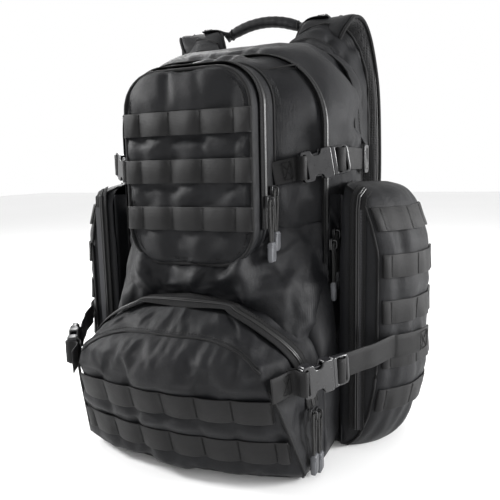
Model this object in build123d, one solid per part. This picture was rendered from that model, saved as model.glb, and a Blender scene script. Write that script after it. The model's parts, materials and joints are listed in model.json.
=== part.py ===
"""Tactical trauma backpack: bag, pockets, harness, buckles, zips and webbing.

Millimetres. +X is right as seen from the front, -Y is the front of the pack, +Y is the wearer's
side and +Z is up. The origin is at the middle of the base.
"""

import math
import os

from build123d import *

# Driving dimensions
WALL = 4.0  # padded fabric wall
SKIN = 3.0  # pocket fabric wall
GAP = 0.4  # clearance between sewn pieces
WEB = 25.4  # webbing width
WEB_THICK = 1.6
ROW_PITCH = 50.8  # webbing rows, centre to centre
STITCH_PITCH = 38.1  # stitches along a row
LOOP_RISE = 1.1  # how far a webbing loop stands off between stitches

REAR_Y = 108.0  # back of the bag
MOUTH_Y = -12.0  # plane of the main zip
PANEL_Y = -50.0  # front face of the main panel
POCKET_ZIP_Y = -70.0  # plane of the upper pocket's zip
POCKET_FACE_Y = -94.0  # front face of the upper pocket
BLOCK_Y = -60.0  # front of the bag's lower half, behind the lower pocket
BLOCK_TOP = 200.0
PANEL_LOW = 202.0  # lower edge of the main panel, just over its fold
BAG_TOP = 480.0

FACE_LEAN = math.radians(17.0)  # the lower pocket's face leans back towards its base
LOWER_FACE_LOW = 14.0
LOWER_FACE_RADIUS = 371.0  # crown of the face, seen from above
LOWER_FACE_MIDDLE_Y = -140.0  # the middle of its crown, at its lower edge

SIDE_X = 150.4  # inner edge of a side pocket
SIDE_TOP = 308.0
SIDE_FLAT_LOW = 40.0  # a side pocket is widest between these two heights
SIDE_FLAT_HIGH = 232.0
SIDE_TAPER = 15.0  # how far its face has come in at the top

STRAP_THICK = 14.0
STRAP_ROUTE = [  # centre line and width of the right-hand shoulder strap, from yoke to tip
    (74, 119.5, 452, 58),
    (82, 121, 490, 60),
    (92, 129, 511, 62),
    (101, 143, 519, 64),
    (108, 157, 509, 66),
    (114, 166, 480, 68),
    (120, 170, 430, 70),
    (123, 169, 370, 70),
    (124, 166, 300, 70),
    (121, 160, 230, 68),
    (116, 152, 170, 62),
    (110, 145, 128, 56),
]

HANDLE_RADIUS = 8.5
HANDLE_REACH = 54.0  # from the middle of the handle to either end
HANDLE_RISE = 13.0
HANDLE_AXIS = (143.0, 516.0)  # Y and Z of the line that the handle swings about

CORD = 3.0  # pull cord diameter
TIP = (12.0, 6.0, 21.0)  # moulded tip on a pull cord: width, thickness, length


def line(a, b):
    return Edge.make_line(Vector(*a), Vector(*b))


def arc(a, b, c):
    return Edge.make_three_point_arc(Vector(*a), Vector(*b), Vector(*c))


def loft(wires):
    return Solid.make_loft(wires, True)


def block(low, high):
    """Plain box between two corners."""
    size = [high[i] - low[i] for i in range(3)]
    return Pos(*low) * Box(*size, align=(Align.MIN, Align.MIN, Align.MIN))


def pad(low, high, radius):
    """Box with all its edges rounded."""
    box = block(low, high)
    return fillet(box.edges(), radius)


def mirrored(shape):
    return shape.mirror(Plane.YZ)


def both(shape):
    """A shape on the right-hand side, and its mirror image on the left."""
    return [shape, mirrored(shape)]


def arch(y, half, low, high, top_radius, low_radius):
    """Closed outline in the plane Y = y: flat base, upright sides and rounded corners."""
    corners = [
        (half - low_radius, low + low_radius, low_radius, -90),
        (half - top_radius, high - top_radius, top_radius, 0),
        (top_radius - half, high - top_radius, top_radius, 90),
        (low_radius - half, low + low_radius, low_radius, 180),
    ]

    def on_arc(corner, turn):
        x, z, radius, start = corner
        angle = math.radians(start + turn)
        return (x + radius * math.cos(angle), y, z + radius * math.sin(angle))

    edges = []
    for here, there in zip(corners, corners[1:] + corners[:1]):
        edges.append(arc(on_arc(here, 0), on_arc(here, 45), on_arc(here, 90)))
        edges.append(line(on_arc(here, 90), on_arc(there, 0)))
    return Wire(edges)


def arch_loft(sections):
    return loft([arch(*section) for section in sections])


def plan_band(points, thick, low, rise, shift=(0.0, 0.0)):
    """Flat strap standing on edge: it follows points in plan, and rises by rise, moving by shift."""
    path = [Vector(x, y) for x, y in points]
    outer, inner = [], []
    for i, here in enumerate(path):
        before = path[max(i - 1, 0)]
        after = path[min(i + 1, len(path) - 1)]
        along = (after - before).normalized()
        side = Vector(along.Y, -along.X)
        outer.append(here + side * thick)
        inner.append(here)
    ring = [Vector(p.X, p.Y, low) for p in outer + inner[::-1]]
    face = Face(Wire.make_polygon(ring, close=True))
    return Solid.extrude(face, Vector(shift[0], shift[1], rise))


def looped_band(curve, start, ends, low, rise, shift):
    """A row of loop webbing: it lies on a plan curve and stands off it between its stitches.

    curve gives the point and the outward normal at a distance along the face, start is the first
    stitch's distance and ends are the distances of the row's two ends.
    """
    stitches = [ends[0]]
    place = start
    while place < ends[1] - 1:
        stitches.append(place)
        place += STITCH_PITCH
    stitches.append(ends[1])
    outer, inner = [], []
    for a, b in zip(stitches, stitches[1:]):
        for share in (0.0, 0.12, 0.5, 0.88):
            point, normal = curve(a + (b - a) * share)
            lift = WEB_THICK + (LOOP_RISE if share == 0.5 else 0.6 * LOOP_RISE * (share > 0))
            outer.append(point + normal * (GAP + lift))
            inner.append(point + normal * GAP)
    point, normal = curve(ends[1])
    outer.append(point + normal * (GAP + WEB_THICK))
    inner.append(point + normal * GAP)
    ring = [Vector(p.X, p.Y, low) for p in outer + inner[::-1]]
    face = Face(Wire.make_polygon(ring, close=True))
    return Solid.extrude(face, Vector(shift[0], shift[1], rise))


# Bag ----------------------------------------------------------------------------------------


def block_loft(inset):
    """The bag's deeper lower half, or the space inside it: wide at its foot, narrow at its top."""
    rear = MOUTH_Y + 4 + inset * 0.25
    wires = []
    for z, front_half, rear_half in ((0, 134, 138), (20, 143, 145), (110, 142, 144), (BLOCK_TOP, 124, 130)):
        level = min(max(z, inset), BLOCK_TOP - inset)
        corners = [(-rear_half, rear), (-front_half, BLOCK_Y), (front_half, BLOCK_Y), (rear_half, rear)]
        plan = [
            Vector(x - math.copysign(inset, x), y + inset * (y == BLOCK_Y), level) for x, y in corners
        ]
        wires.append(Wire.make_polygon(plan, close=True))
    return loft(wires)


def make_bag():
    """Main bag: an open-fronted tub, with a deeper lower half behind the lower pocket."""
    front_half, rear_half = 131.0, 146.0
    outside = arch_loft(
        [
            (MOUTH_Y, front_half, 0, 452, 80, 20),
            (35, 145, 0, 468, 85, 22),
            (REAR_Y, rear_half, 0, BAG_TOP, 70, 22),
        ]
    )
    outside += block_loft(0)
    inside = arch_loft(
        [
            (MOUTH_Y - 1, front_half - WALL, WALL, 452 - WALL, 76, 16),
            (35, 145 - WALL, WALL, 468 - WALL, 81, 18),
            (REAR_Y - WALL, rear_half - WALL, WALL, BAG_TOP - WALL, 66, 18),
        ]
    )
    return outside - inside - block_loft(WALL)


def make_frame_sheet():
    """Stiff plastic sheet in the sleeve against the wearer's back."""
    return arch_loft([(100.6, 128, 12, 458, 60, 20), (102.4, 128, 12, 458, 60, 20)])


def make_frame_stays():
    """Two flat aluminium bars on the frame sheet."""
    bar = block((62, 97.2, 20), (82, 100.2, 440))
    return both(fillet(bar.edges().filter_by(Axis.Y), 8))


def make_inner_sleeve():
    """Flat padded sleeve, for a bladder or a folder, sewn in front of the frame sheet."""
    return pad((-112, 88, 6), (112, 94, 340), 2.5)


def make_main_panel():
    """Front panel of the main compartment: a tapered shell that folds forward at its lower edge."""
    outside = arch_loft(
        [(MOUTH_Y - GAP, 131, PANEL_LOW, 452, 80, 14), (PANEL_Y, 86, PANEL_LOW + 8, 441, 48, 40)]
    )
    inside = arch_loft(
        [
            (MOUTH_Y + 1, 131 - WALL, PANEL_LOW + WALL, 452 - WALL, 76, 10),
            (PANEL_Y + WALL, 86 - WALL, PANEL_LOW + 8 + WALL, 441 - WALL, 44, 36),
        ]
    )
    return outside - inside


def make_panel_organiser():
    """Flat mesh pocket sewn on the inside of the main panel."""
    return pad((-72, -44.5, 236), (72, -41, 372), 1.5)


# Upper pocket -------------------------------------------------------------------------------


def make_pocket_gusset():
    """Side wall of the upper pocket, from the main panel to the pocket's zip."""
    rear, front = PANEL_Y - GAP, POCKET_ZIP_Y
    outside = arch_loft([(rear, 84, 224, 440, 46, 40), (front, 80, 223, 437, 45, 40)])
    inside = arch_loft(
        [
            (rear + 1, 84 - SKIN, 224 + SKIN, 440 - SKIN, 43, 37),
            (front - 1, 80 - SKIN, 223 + SKIN, 437 - SKIN, 42, 37),
        ]
    )
    return outside - inside


def make_pocket_face():
    """Front of the upper pocket: a shallow tray that folds down about its lower seam."""
    rear, front = POCKET_ZIP_Y - GAP, POCKET_FACE_Y
    outside = arch_loft([(rear, 80, 223, 437, 45, 40), (front, 78, 222, 433, 42, 40)])
    inside = arch_loft(
        [
            (rear + 1, 80 - SKIN, 223 + SKIN, 437 - SKIN, 42, 37),
            (front + SKIN, 78 - SKIN, 222 + SKIN, 433 - SKIN, 39, 37),
        ]
    )
    return outside - inside


def make_pocket_divider():
    """Elastic tool strip inside the upper pocket, on the main panel's face."""
    return pad((-60, -56, 270), (60, -53.4, 330), 1.2)


def make_upper_webbing():
    """Three rows of loop webbing on the upper pocket's face."""
    top_row = 376.0

    def face(distance):
        return Vector(distance, POCKET_FACE_Y), Vector(0, -1)

    rows = []
    for row in range(3):
        low = top_row - row * ROW_PITCH - WEB / 2
        rows.append(looped_band(face, -1.5 * STITCH_PITCH, (-76.5, 76.5), low, WEB, (0, 0)))
    return rows


# Lower pocket -------------------------------------------------------------------------------


LOWER_SIZES = [
    # height, half width at the back, half width of the face, how far the face has leaned out
    (0, 136, 129, -19),
    (LOWER_FACE_LOW, 142, 137, 0),
    (43, 142, 131, 29 * math.tan(FACE_LEAN)),
    (92, 142, 120, 78 * math.tan(FACE_LEAN)),
    (125, 138, 113, 111 * math.tan(FACE_LEAN)),
    (148, 131, 103, 27),
    (174, 121, 88, -40),
    (183, 112, 80, -64),
]


def lower_size(z):
    """The lower pocket's sizes at a height between two of its sections."""
    for below, above in zip(LOWER_SIZES, LOWER_SIZES[1:]):
        if z <= above[0]:
            share = (z - below[0]) / (above[0] - below[0])
            return tuple(a + (b - a) * share for a, b in zip(below[1:], above[1:]))
    return LOWER_SIZES[-1][1:]


def lower_section(z, level, inset=0.0):
    """Plan of the lower pocket at height z, drawn at a level: straight sides and a crowned face."""
    rear_half, face_half, out = lower_size(z)
    rear_half, face_half = rear_half - inset, face_half - inset
    radius = LOWER_FACE_RADIUS
    middle_y = LOWER_FACE_MIDDLE_Y - out + inset
    side_y = middle_y + radius - math.sqrt(radius**2 - face_half**2)
    rear = BLOCK_Y - GAP
    corners = [
        (-rear_half, rear, level),
        (-face_half, side_y, level),
        (face_half, side_y, level),
        (rear_half, rear, level),
    ]
    return Wire(
        [
            line(corners[0], corners[1]),
            arc(corners[1], (0, middle_y, level), corners[2]),
            line(corners[2], corners[3]),
            line(corners[3], corners[0]),
        ]
    )


def lower_loft(inset):
    """The lower pocket's outline, or the space inside it with every wall inset."""
    top = LOWER_SIZES[-1][0]
    wires = []
    for z, *_ in LOWER_SIZES:
        level = min(max(z, inset), top - inset)
        wires.append(lower_section(z, level, inset))
    return loft(wires)


def make_lower_pocket():
    """Lower front pocket: a shell with a leaning, crowned face, closed behind by the bag."""
    inside = lower_loft(SKIN)
    rear = block((-128, BLOCK_Y - 8, 8), (128, BLOCK_Y + 1, 150))
    return lower_loft(0) - inside - rear


def make_lower_webbing():
    """Two rows of loop webbing on the lower pocket's face, each as long as the face is wide."""
    radius = LOWER_FACE_RADIUS
    lean = math.tan(FACE_LEAN)
    rise = WEB * math.cos(FACE_LEAN)
    rows = []
    for row in range(2):
        middle = 92.0 - row * ROW_PITCH * math.cos(FACE_LEAN)
        low = middle - rise / 2
        centre = Vector(0, LOWER_FACE_MIDDLE_Y - (low - LOWER_FACE_LOW) * lean + radius)
        reach = lower_size(middle + rise / 2)[1] - 1

        def face(distance):
            angle = distance / radius
            normal = Vector(math.sin(angle), -math.cos(angle))
            return centre + normal * radius, normal

        rows.append(looped_band(face, -3 * STITCH_PITCH, (-reach, reach), low, rise, (0, -rise * lean)))
    return rows


# Side pockets -------------------------------------------------------------------------------

SIDE_CORNERS = [(194, -28), (225, 3), (237, 46), (234, 85), (210, 103)]  # outer corners in plan
SIDE_MIDDLE_Y = 40.0


def side_section(z, inward, shrink, inset=0.0):
    """Plan of the right-hand side pocket at one height, with its face moved inward."""
    front, rear = -24.0 + shrink + inset, 103.0 - shrink - inset

    def out(x, y):
        """A corner of the full-size plan, moved in and pulled towards the pocket's middle."""
        keep = 1 - (shrink + inset) / 64.0
        return (x - inward - inset, SIDE_MIDDLE_Y + (y - SIDE_MIDDLE_Y) * keep, z)

    corners = [out(x, y) for x, y in SIDE_CORNERS]
    points = [(SIDE_X, front, z), *corners, (SIDE_X, rear, z)]
    return Wire(
        [
            line(points[0], points[1]),
            arc(points[1], points[2], points[3]),
            line(points[3], points[4]),
            line(points[4], points[5]),
            line(points[5], points[6]),
            line(points[6], points[0]),
        ]
    )


def side_loft(inset):
    sections = [
        (0 + inset, 20, 6),
        (18, 6, 1),
        (SIDE_FLAT_LOW, 0, 0),
        (SIDE_FLAT_HIGH, 0, 0),
        (285, SIDE_TAPER, 0),
        (300, 26, 8),
        (SIDE_TOP - inset, 44, 22),
    ]
    return loft([side_section(z, inward, shrink, inset) for z, inward, shrink in sections])


def make_side_pocket():
    """Side pocket: a tall bellows shell, closed on its inner side by the bag."""
    inner = block((SIDE_X - 1, -14, 10), (SIDE_X + 8, 92, 286))
    return side_loft(0) - side_loft(SKIN) - inner


def side_face(distance):
    """Point and outward normal in plan, at a distance along a side pocket's face from its front."""
    start, bulge, shoulder, end = [(x, y, 0) for x, y in SIDE_CORNERS[:4]]
    bend, flat = arc(start, bulge, shoulder), line(shoulder, end)
    if distance < bend.length:
        stretch, share = bend, distance / bend.length
    else:
        stretch, share = flat, min((distance - bend.length) / flat.length, 1.0)
    point, along = stretch.position_at(share), stretch.tangent_at(share)
    return Vector(point.X, point.Y), Vector(along.Y, -along.X)


def make_side_webbing():
    """Five rows of loop webbing round the side pocket's face."""
    top_row = 270.0
    slope = SIDE_TAPER / (285 - SIDE_FLAT_HIGH)
    rows = []
    for row in range(5):
        low = top_row - row * ROW_PITCH - WEB / 2
        sunk = max(low - SIDE_FLAT_HIGH, 0) * slope
        shift = (-WEB * slope, 0) if low > SIDE_FLAT_HIGH else (0, 0)

        def lowered(distance):
            point, normal = side_face(distance)
            return point - Vector(sunk, 0), normal

        rows.append(looped_band(lowered, 14.0, (4.0, 122.0), low, WEB, shift))
    return rows


# Zips ---------------------------------------------------------------------------------------


def zip_arch(front, rear, front_size, rear_size, low):
    """Zip tape that goes up one side of an arch, over its top and down the other side."""
    lift, thick = GAP, 1.4

    def section(y, size, extra):
        half, base, high, radius = size
        return (y, half + extra, base - extra, high + extra, radius + extra, 20)

    outer = arch_loft(
        [section(front, front_size, lift + thick), section(rear, rear_size, lift + thick)]
    )
    inner = arch_loft([section(front - 0.01, front_size, lift), section(rear + 0.01, rear_size, lift)])
    below = block((-300, front - 1, -10), (300, rear + 1, low))
    return outer - inner - below


def make_main_zip():
    return zip_arch(MOUTH_Y + 0.4, MOUTH_Y + 9, (131, 0, 452, 80), (133.7, 0, 455.1, 81), 226)


def make_pocket_zip():
    return zip_arch(
        POCKET_ZIP_Y + 0.4, POCKET_ZIP_Y + 8, (80.1, 223, 437.1, 45), (81.7, 223, 438.3, 45.4), 276
    )


def make_lower_zip():
    """Zip of the lower pocket: a strip over the slope of its top, and one down each side wall."""
    height, thick, low = 166.0, 1.4, 80.0
    ring = Face(lower_section(height, height, -GAP - thick)) - Face(lower_section(height, height, -GAP))
    strip = extrude(ring, 3.2, dir=(0, 0, 1)) - block((-300, BLOCK_Y - 18, 0), (300, 100, 400))
    side = block((136.0, -96, low), (137.2, -90, low + 24))
    return [*strip.solids(), *both(side)]


def make_side_zip():
    """Zip down the front wall of a side pocket."""
    return plan_band([(168, -27.6), (177, -28.4)], 1.4, 30, 250)


# Straps and buckles -------------------------------------------------------------------------


class StrapLine:
    """A tight strap between two points: distances go along it, across it and outward."""

    def __init__(self, start, end):
        self.start = Vector(*start)
        self.along = (Vector(*end) - self.start).normalized()
        outward = Vector(self.along.Y, -self.along.X, 0).normalized()
        self.plane = Plane(origin=self.start, x_dir=self.along, z_dir=outward)

    def box(self, low, high):
        return self.plane * block(low, high)


UPPER_STRAP = StrapLine((92, -57.5, 321), (153.6, -6.3, 336))
LOWER_STRAP = StrapLine((123, -155, 118), (211, -35, 130))
UPPER_BUCKLE = 25.0  # distance along the strap to the buckle's closed end
LOWER_BUCKLE = 28.0
SOCKET = (37.0, 33.0, 11.0)  # buckle socket: length, width, thickness
PLUG_BODY = (21.0, 32.0, 8.6)
PRONG_REACH = 24.0  # how far the plug's prongs go into the socket
FACE_STAND_OFF = 4.2  # the lower strap lies over the side pocket's loop webbing


def make_socket(strap, start):
    """Buckle socket: an open-ended case with a window in each side and a bar for its strap."""
    length, width, thick = SOCKET
    case = strap.box((start, -width / 2, -thick / 2), (start + length, width / 2, thick / 2))
    case = fillet(case.edges(), 1.6)
    case -= strap.box((start + 9, -12.6, -3.2), (start + length + 1, 12.6, 3.2))
    for side in (-1, 1):
        low, high = sorted((side * 10, side * 20))
        case -= strap.box((start + 14, low, -3.2), (start + 24, high, 3.2))
    case -= strap.box((start + 3.2, -13.2, -thick), (start + 6.2, 13.2, thick))
    return case


def make_plug(strap, start):
    """Buckle plug: a slotted bar for its strap, two spring prongs and a guide between them."""
    length, width, thick = PLUG_BODY
    face = start + SOCKET[0] + GAP
    plug = strap.box((face, -width / 2, -thick / 2), (face + length, width / 2, thick / 2))
    plug = fillet(plug.edges(), 1.6)
    for slot in (6.0, 13.5):
        plug -= strap.box((face + slot, -13.2, -thick), (face + slot + 3.4, 13.2, thick))
    for side in (-1, 1):
        low, high = sorted((side * 8.4, side * 12.2))
        plug += strap.box((face - PRONG_REACH, low, -2.2), (face + 1, high, 2.2))
    plug += strap.box((face - PRONG_REACH + 2, -1.8, -2.2), (face + 1, 1.8, 2.2))
    return plug


def make_front_strap(strap, start):
    """Webbing from its seam to the buckle socket, turned round the socket's bar."""
    back = -SOCKET[2] / 2 - GAP - WEB_THICK
    run = strap.box((0, -WEB / 2, back), (start + 7, WEB / 2, back + WEB_THICK))
    turn = strap.box((start + 3.6, -WEB / 2, back), (start + 5.2, WEB / 2, 0))
    return run + turn


def rear_run(strap, start, end):
    """Webbing that runs behind the plug, which slides along it."""
    face = start + SOCKET[0] + GAP
    back = -PLUG_BODY[2] / 2 - GAP - WEB_THICK
    return strap.box((face + 8, -WEB / 2, back), (end, WEB / 2, back + WEB_THICK))


def make_fixed_straps():
    """The compression straps' halves that are sewn to the bag and to the side pockets."""
    lower_front = make_front_strap(LOWER_STRAP, LOWER_BUCKLE)
    upper_run = rear_run(UPPER_STRAP, UPPER_BUCKLE, 74)
    flank = plan_band([(141.5, -6), (146.6, 8), (149.2, 40), (149.0, 96)], WEB_THICK, 323, WEB)
    lower_run = rear_run(LOWER_STRAP, LOWER_BUCKLE, 148)
    wrap_start, wrap_step = 11.5, 8.0
    wrapped = []
    for i in range(8):
        point, normal = side_face(wrap_start + i * wrap_step)
        lifted = point + normal * FACE_STAND_OFF
        wrapped.append((lifted.X, lifted.Y))
    wrap = plan_band(wrapped, WEB_THICK, 118, WEB)
    return [lower_front, upper_run, flank, lower_run, wrap]


def make_strap_slider():
    """Flat slider on the upper strap, where it meets the yoke's wing."""
    frame = block((151.8, 84, 318), (154.8, 106, 353))
    frame = fillet(frame.edges().filter_by(Axis.X), 3)
    for y in (88, 98):
        frame -= block((150, y, 322.5), (157, y + 4, 348.5))
    return frame


# Harness ------------------------------------------------------------------------------------


def section_at(route, index, width, thick):
    """Rectangle across a route at one of its points, wide along X as far as the route allows."""
    points = [Vector(*p[:3]) for p in route]
    before = points[max(index - 1, 0)]
    after = points[min(index + 1, len(points) - 1)]
    along = (after - before).normalized()
    across = (Vector(1, 0, 0) - along * along.X).normalized()
    out = along.cross(across)
    here = points[index]
    corners = []
    for a, b in ((-1, -1), (1, -1), (1, 1), (-1, 1)):
        corners.append(here + across * (a * width / 2) + out * (b * thick / 2))
    return Wire.make_polygon(corners, close=True)


def make_shoulder_strap():
    """Padded shoulder strap, from the yoke over the shoulder and down to its tip."""
    wires = []
    for i, (_, _, _, width) in enumerate(STRAP_ROUTE):
        wires.append(section_at(STRAP_ROUTE, i, width, STRAP_THICK))
    return loft(wires)


def make_yoke():
    """Padded panel across the top of the back, between the shoulder straps' roots."""
    return pad((-112, 108.6, 404), (112, 110.8, 474), 1.0)


def make_yoke_wing():
    """Sewn wing that braces a shoulder strap from the bag's top corner."""
    corners = [(62, 392), (104, 340), (128, 352), (128, 470), (96, 458)]
    face = Face(Wire.make_polygon([Vector(148.8, y, z) for y, z in corners], close=True))
    return Solid.extrude(face, Vector(2.4, 0, 0))


def make_back_pads():
    """Mesh-covered pads against the wearer's back: two columns and a lumbar pad."""
    column = pad((16, REAR_Y + GAP, 190), (118, 124, 400), 6)
    lumbar = pad((-92, REAR_Y + GAP, 36), (92, 128, 178), 7)
    return [*both(column), lumbar]


def make_strap_tail():
    """Adjusting webbing from a shoulder strap's tip down to the bag's lower corner."""
    route = [(110, 138.2, 112), (118, 128, 82), (124, 112, 52)]
    wires = [section_at(route, i, WEB, WEB_THICK) for i in range(3)]
    return loft(wires)


def make_strap_adjuster():
    """Ladder lock at the tip of a shoulder strap."""
    frame = block((-17, -3, -14), (17, 3, 14))
    frame = fillet(frame.edges().filter_by(Axis.Y), 3)
    for z in (-8, 3):
        frame -= block((-13.2, -4, z), (13.2, 4, z + 5))
    return Pos(109, 146.5, 108) * Rot(15, 0, 0) * frame


def make_handle():
    """Rolled carry handle that bridges the shoulder straps."""
    y, z = HANDLE_AXIS
    route = arc((-HANDLE_REACH, y, z), (0, y, z + HANDLE_RISE), (HANDLE_REACH, y, z))
    return sweep(Plane(origin=route @ 0, z_dir=route % 0) * Circle(HANDLE_RADIUS), route)


def make_handle_tab():
    """Stitched tab that holds one end of the carry handle to the top of a shoulder strap."""
    return pad((63.0, 134.0, 526.8), (93.0, 152.0, 529.0), 1.0)


# Sternum strap ------------------------------------------------------------------------------

STERNUM_REACH = 24.0  # from the middle of the chest to either end of the buckle


def make_sternum_rail():
    """Narrow webbing rail down a shoulder strap, that the sternum strap slides on."""
    return block((118, 178.2, 362), (136, 179.4, 438))


def make_sternum_clip():
    """Clip that rides on a rail and holds one end of the sternum strap."""
    clip = block((112, 177.9, 386), (142, 183.8, 414))
    clip = fillet(clip.edges().filter_by(Axis.Y), 4)
    return clip - block((117.4, 177, 380), (136.6, 180, 420))


def make_sternum_webbing():
    """Webbing from each clip to its half of the sternum buckle."""
    y, low = 186.4, 390.0
    socket_side = block((STERNUM_REACH - 12, y, low), (140, y + 1.2, low + 20))
    plug_side = block((-140, y, low), (-STERNUM_REACH - 8, y + 1.2, low + 20))
    return [socket_side, plug_side]


def sternum_box(low, high):
    """Box about the middle of the sternum buckle: X is across the chest, Z is up."""
    middle = (0, 193.0, 400.0)
    return Pos(*middle) * block(low, high)


def make_sternum_socket():
    """Socket of the sternum buckle."""
    case = fillet(sternum_box((-8, -4.6, -14), (22, 4.6, 14)).edges(), 1.4)
    case -= sternum_box((-9, -2.8, -10.6), (15, 2.8, 10.6))
    case -= sternum_box((17.2, -6, -10.8), (19.6, 6, 10.8))
    return case


def make_sternum_plug():
    """Plug of the sternum buckle, with two prongs and a guide."""
    plug = fillet(sternum_box((-26, -3.8, -13.5), (-8.4, 3.8, 13.5)).edges(), 1.4)
    plug -= sternum_box((-22.5, -6, -10.8), (-19.5, 6, 10.8))
    for low, high in ((-10.2, -7.0), (-1.6, 1.6), (7.0, 10.2)):
        plug += sternum_box((-9, -1.8, low), (10, 1.8, high))
    return plug


# Zip pulls ----------------------------------------------------------------------------------

PULLS = {
    # each pull hangs from the eye of its slider, on the pack's right-hand side
    "upper_a": (89.0, -60.2, 302.0),
    "upper_b": (89.0, -73.8, 292.0),
    "main_a": (141.0, 0.6, 250.0),
    "main_b": (141.0, -13.0, 240.0),
    "lower_a": (144.4, -86.0, 70.0),
    "lower_b": (142.8, -99.6, 74.0),
}
PULL_LEG = 44.0  # from the eye down to the tip


def pull_frame(name):
    """Frame of a pull: X runs along the fabric, Y is up and Z stands out of the fabric."""
    return Plane(origin=Vector(*PULLS[name]), x_dir=(0, 1, 0), z_dir=(1, 0, 0))


def make_slider(name):
    """Zip slider: a flat body, and a bridge with the eye that its cord goes through."""
    body = fillet(block((-4.5, -7, -4.6), (4.5, 6, -1.8)).edges().filter_by(Axis.Z), 2)
    bridge = block((-1.1, -6, -2.2), (1.1, -4.2, 3.6)) + block((-1.1, 3, -2.2), (1.1, 4.8, 3.6))
    bridge += block((-1.1, -6, 2.2), (1.1, 4.8, 3.6))
    return pull_frame(name) * (body + bridge)


def make_pull_cord(name):
    """Cord that leaves the tip, goes through the slider's eye and comes back to the tip."""
    leg = PULL_LEG
    route = [
        (-2.4, -leg, -0.2),
        (-3.9, -leg * 0.66, 0.3),
        (-4.6, -leg * 0.34, 0.2),
        (-3.9, -5.6, -0.1),
        (-3.3, 1.0, 0.0),
        (3.3, 1.0, 0.1),
        (4.1, -5.9, 0.0),
        (4.9, -leg * 0.36, 0.3),
        (4.0, -leg * 0.68, -0.3),
        (2.4, -leg, -0.2),
    ]
    frame = pull_frame(name)
    points = [frame.from_local_coords(Vector(*p)) for p in route]
    radii = []
    for before, here, after in zip(points, points[1:], points[2:]):
        turn = (here - before).get_angle(after - here)
        shorter = min((here - before).length, (after - here).length)
        radii.append(0.45 * shorter / math.tan(math.radians(turn) / 2))
    path = FilletPolyline(*points, radius=radii)
    tube = sweep(Plane(origin=path @ 0, z_dir=path % 0) * Circle(CORD / 2), path)
    length = sum(edge.length for edge in path.edges())
    share = tube.volume / (length * math.pi * CORD**2 / 4)
    print(name, "cord", round(length, 1), "volume share", round(share, 3), [round(r, 1) for r in radii])
    return tube


def make_tip(name):
    """Moulded tip that the two ends of a pull cord go into."""
    width, thick, length = TIP
    tip = block((-width / 2, -PULL_LEG - length, -thick / 2), (width / 2, -PULL_LEG, thick / 2))
    return pull_frame(name) * fillet(tip.edges(), 1.8)


# All pieces ---------------------------------------------------------------------------------


def side_by_side(name, shape):
    """The two nodes of a piece that the pack has on its right and on its left."""
    return {f"{name}_right": shape, f"{name}_left": mirrored(shape)}


def all_pieces():
    pieces = {
        "bag": make_bag(),
        "frame_sheet": make_frame_sheet(),
        "frame_stays": make_frame_stays(),
        "inner_sleeve": make_inner_sleeve(),
        "main_panel": make_main_panel(),
        "panel_organiser": make_panel_organiser(),
        "pocket_gusset": make_pocket_gusset(),
        "pocket_face": make_pocket_face(),
        "pocket_divider": make_pocket_divider(),
        "upper_webbing": make_upper_webbing(),
        "lower_pocket": make_lower_pocket(),
        "lower_webbing": make_lower_webbing(),
        "main_zip": make_main_zip(),
        "pocket_zip": make_pocket_zip(),
        "lower_zip": make_lower_zip(),
        "side_zips": both(make_side_zip()),
        "yoke": make_yoke(),
        "yoke_wings": both(make_yoke_wing()),
        "back_pads": make_back_pads(),
        "strap_tails": both(make_strap_tail()),
        "strap_adjusters": both(make_strap_adjuster()),
        "strap_sliders": both(make_strap_slider()),
        "handle": make_handle(),
        "handle_tabs": both(make_handle_tab()),
        "sternum_rails": both(make_sternum_rail()),
        "sternum_clips": both(make_sternum_clip()),
        "sternum_webbing": make_sternum_webbing(),
        "sternum_socket": make_sternum_socket(),
        "sternum_plug": make_sternum_plug(),
        "upper_front_straps": both(make_front_strap(UPPER_STRAP, UPPER_BUCKLE)),
        "compression_straps": [half for part in make_fixed_straps() for half in both(part)],
        "upper_sockets": both(make_socket(UPPER_STRAP, UPPER_BUCKLE)),
        "lower_sockets": both(make_socket(LOWER_STRAP, LOWER_BUCKLE)),
    }
    pieces["side_webbing"] = [half for row in make_side_webbing() for half in both(row)]
    pieces.update(side_by_side("side_pocket", make_side_pocket()))
    pieces.update(side_by_side("shoulder_strap", make_shoulder_strap()))
    pieces.update(side_by_side("upper_plug", make_plug(UPPER_STRAP, UPPER_BUCKLE)))
    pieces.update(side_by_side("lower_plug", make_plug(LOWER_STRAP, LOWER_BUCKLE)))
    for name in PULLS:
        pieces[f"slider_{name}"] = make_slider(name)
        pieces[f"cord_{name}"] = make_pull_cord(name)
        pieces[f"tip_{name}"] = make_tip(name)
    return pieces


os.makedirs("parts", exist_ok=True)
for node, shape in all_pieces().items():
    group = Compound(children=list(shape)) if isinstance(shape, list) else shape
    export_step(group, f"parts/{node}.step")
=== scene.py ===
"""Looks of the trauma backpack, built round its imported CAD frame. Lengths are in millimetres
inside the functions and become metres where a piece is made."""

import json
import math

import bpy
from mathutils import Matrix, Vector, noise


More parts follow.
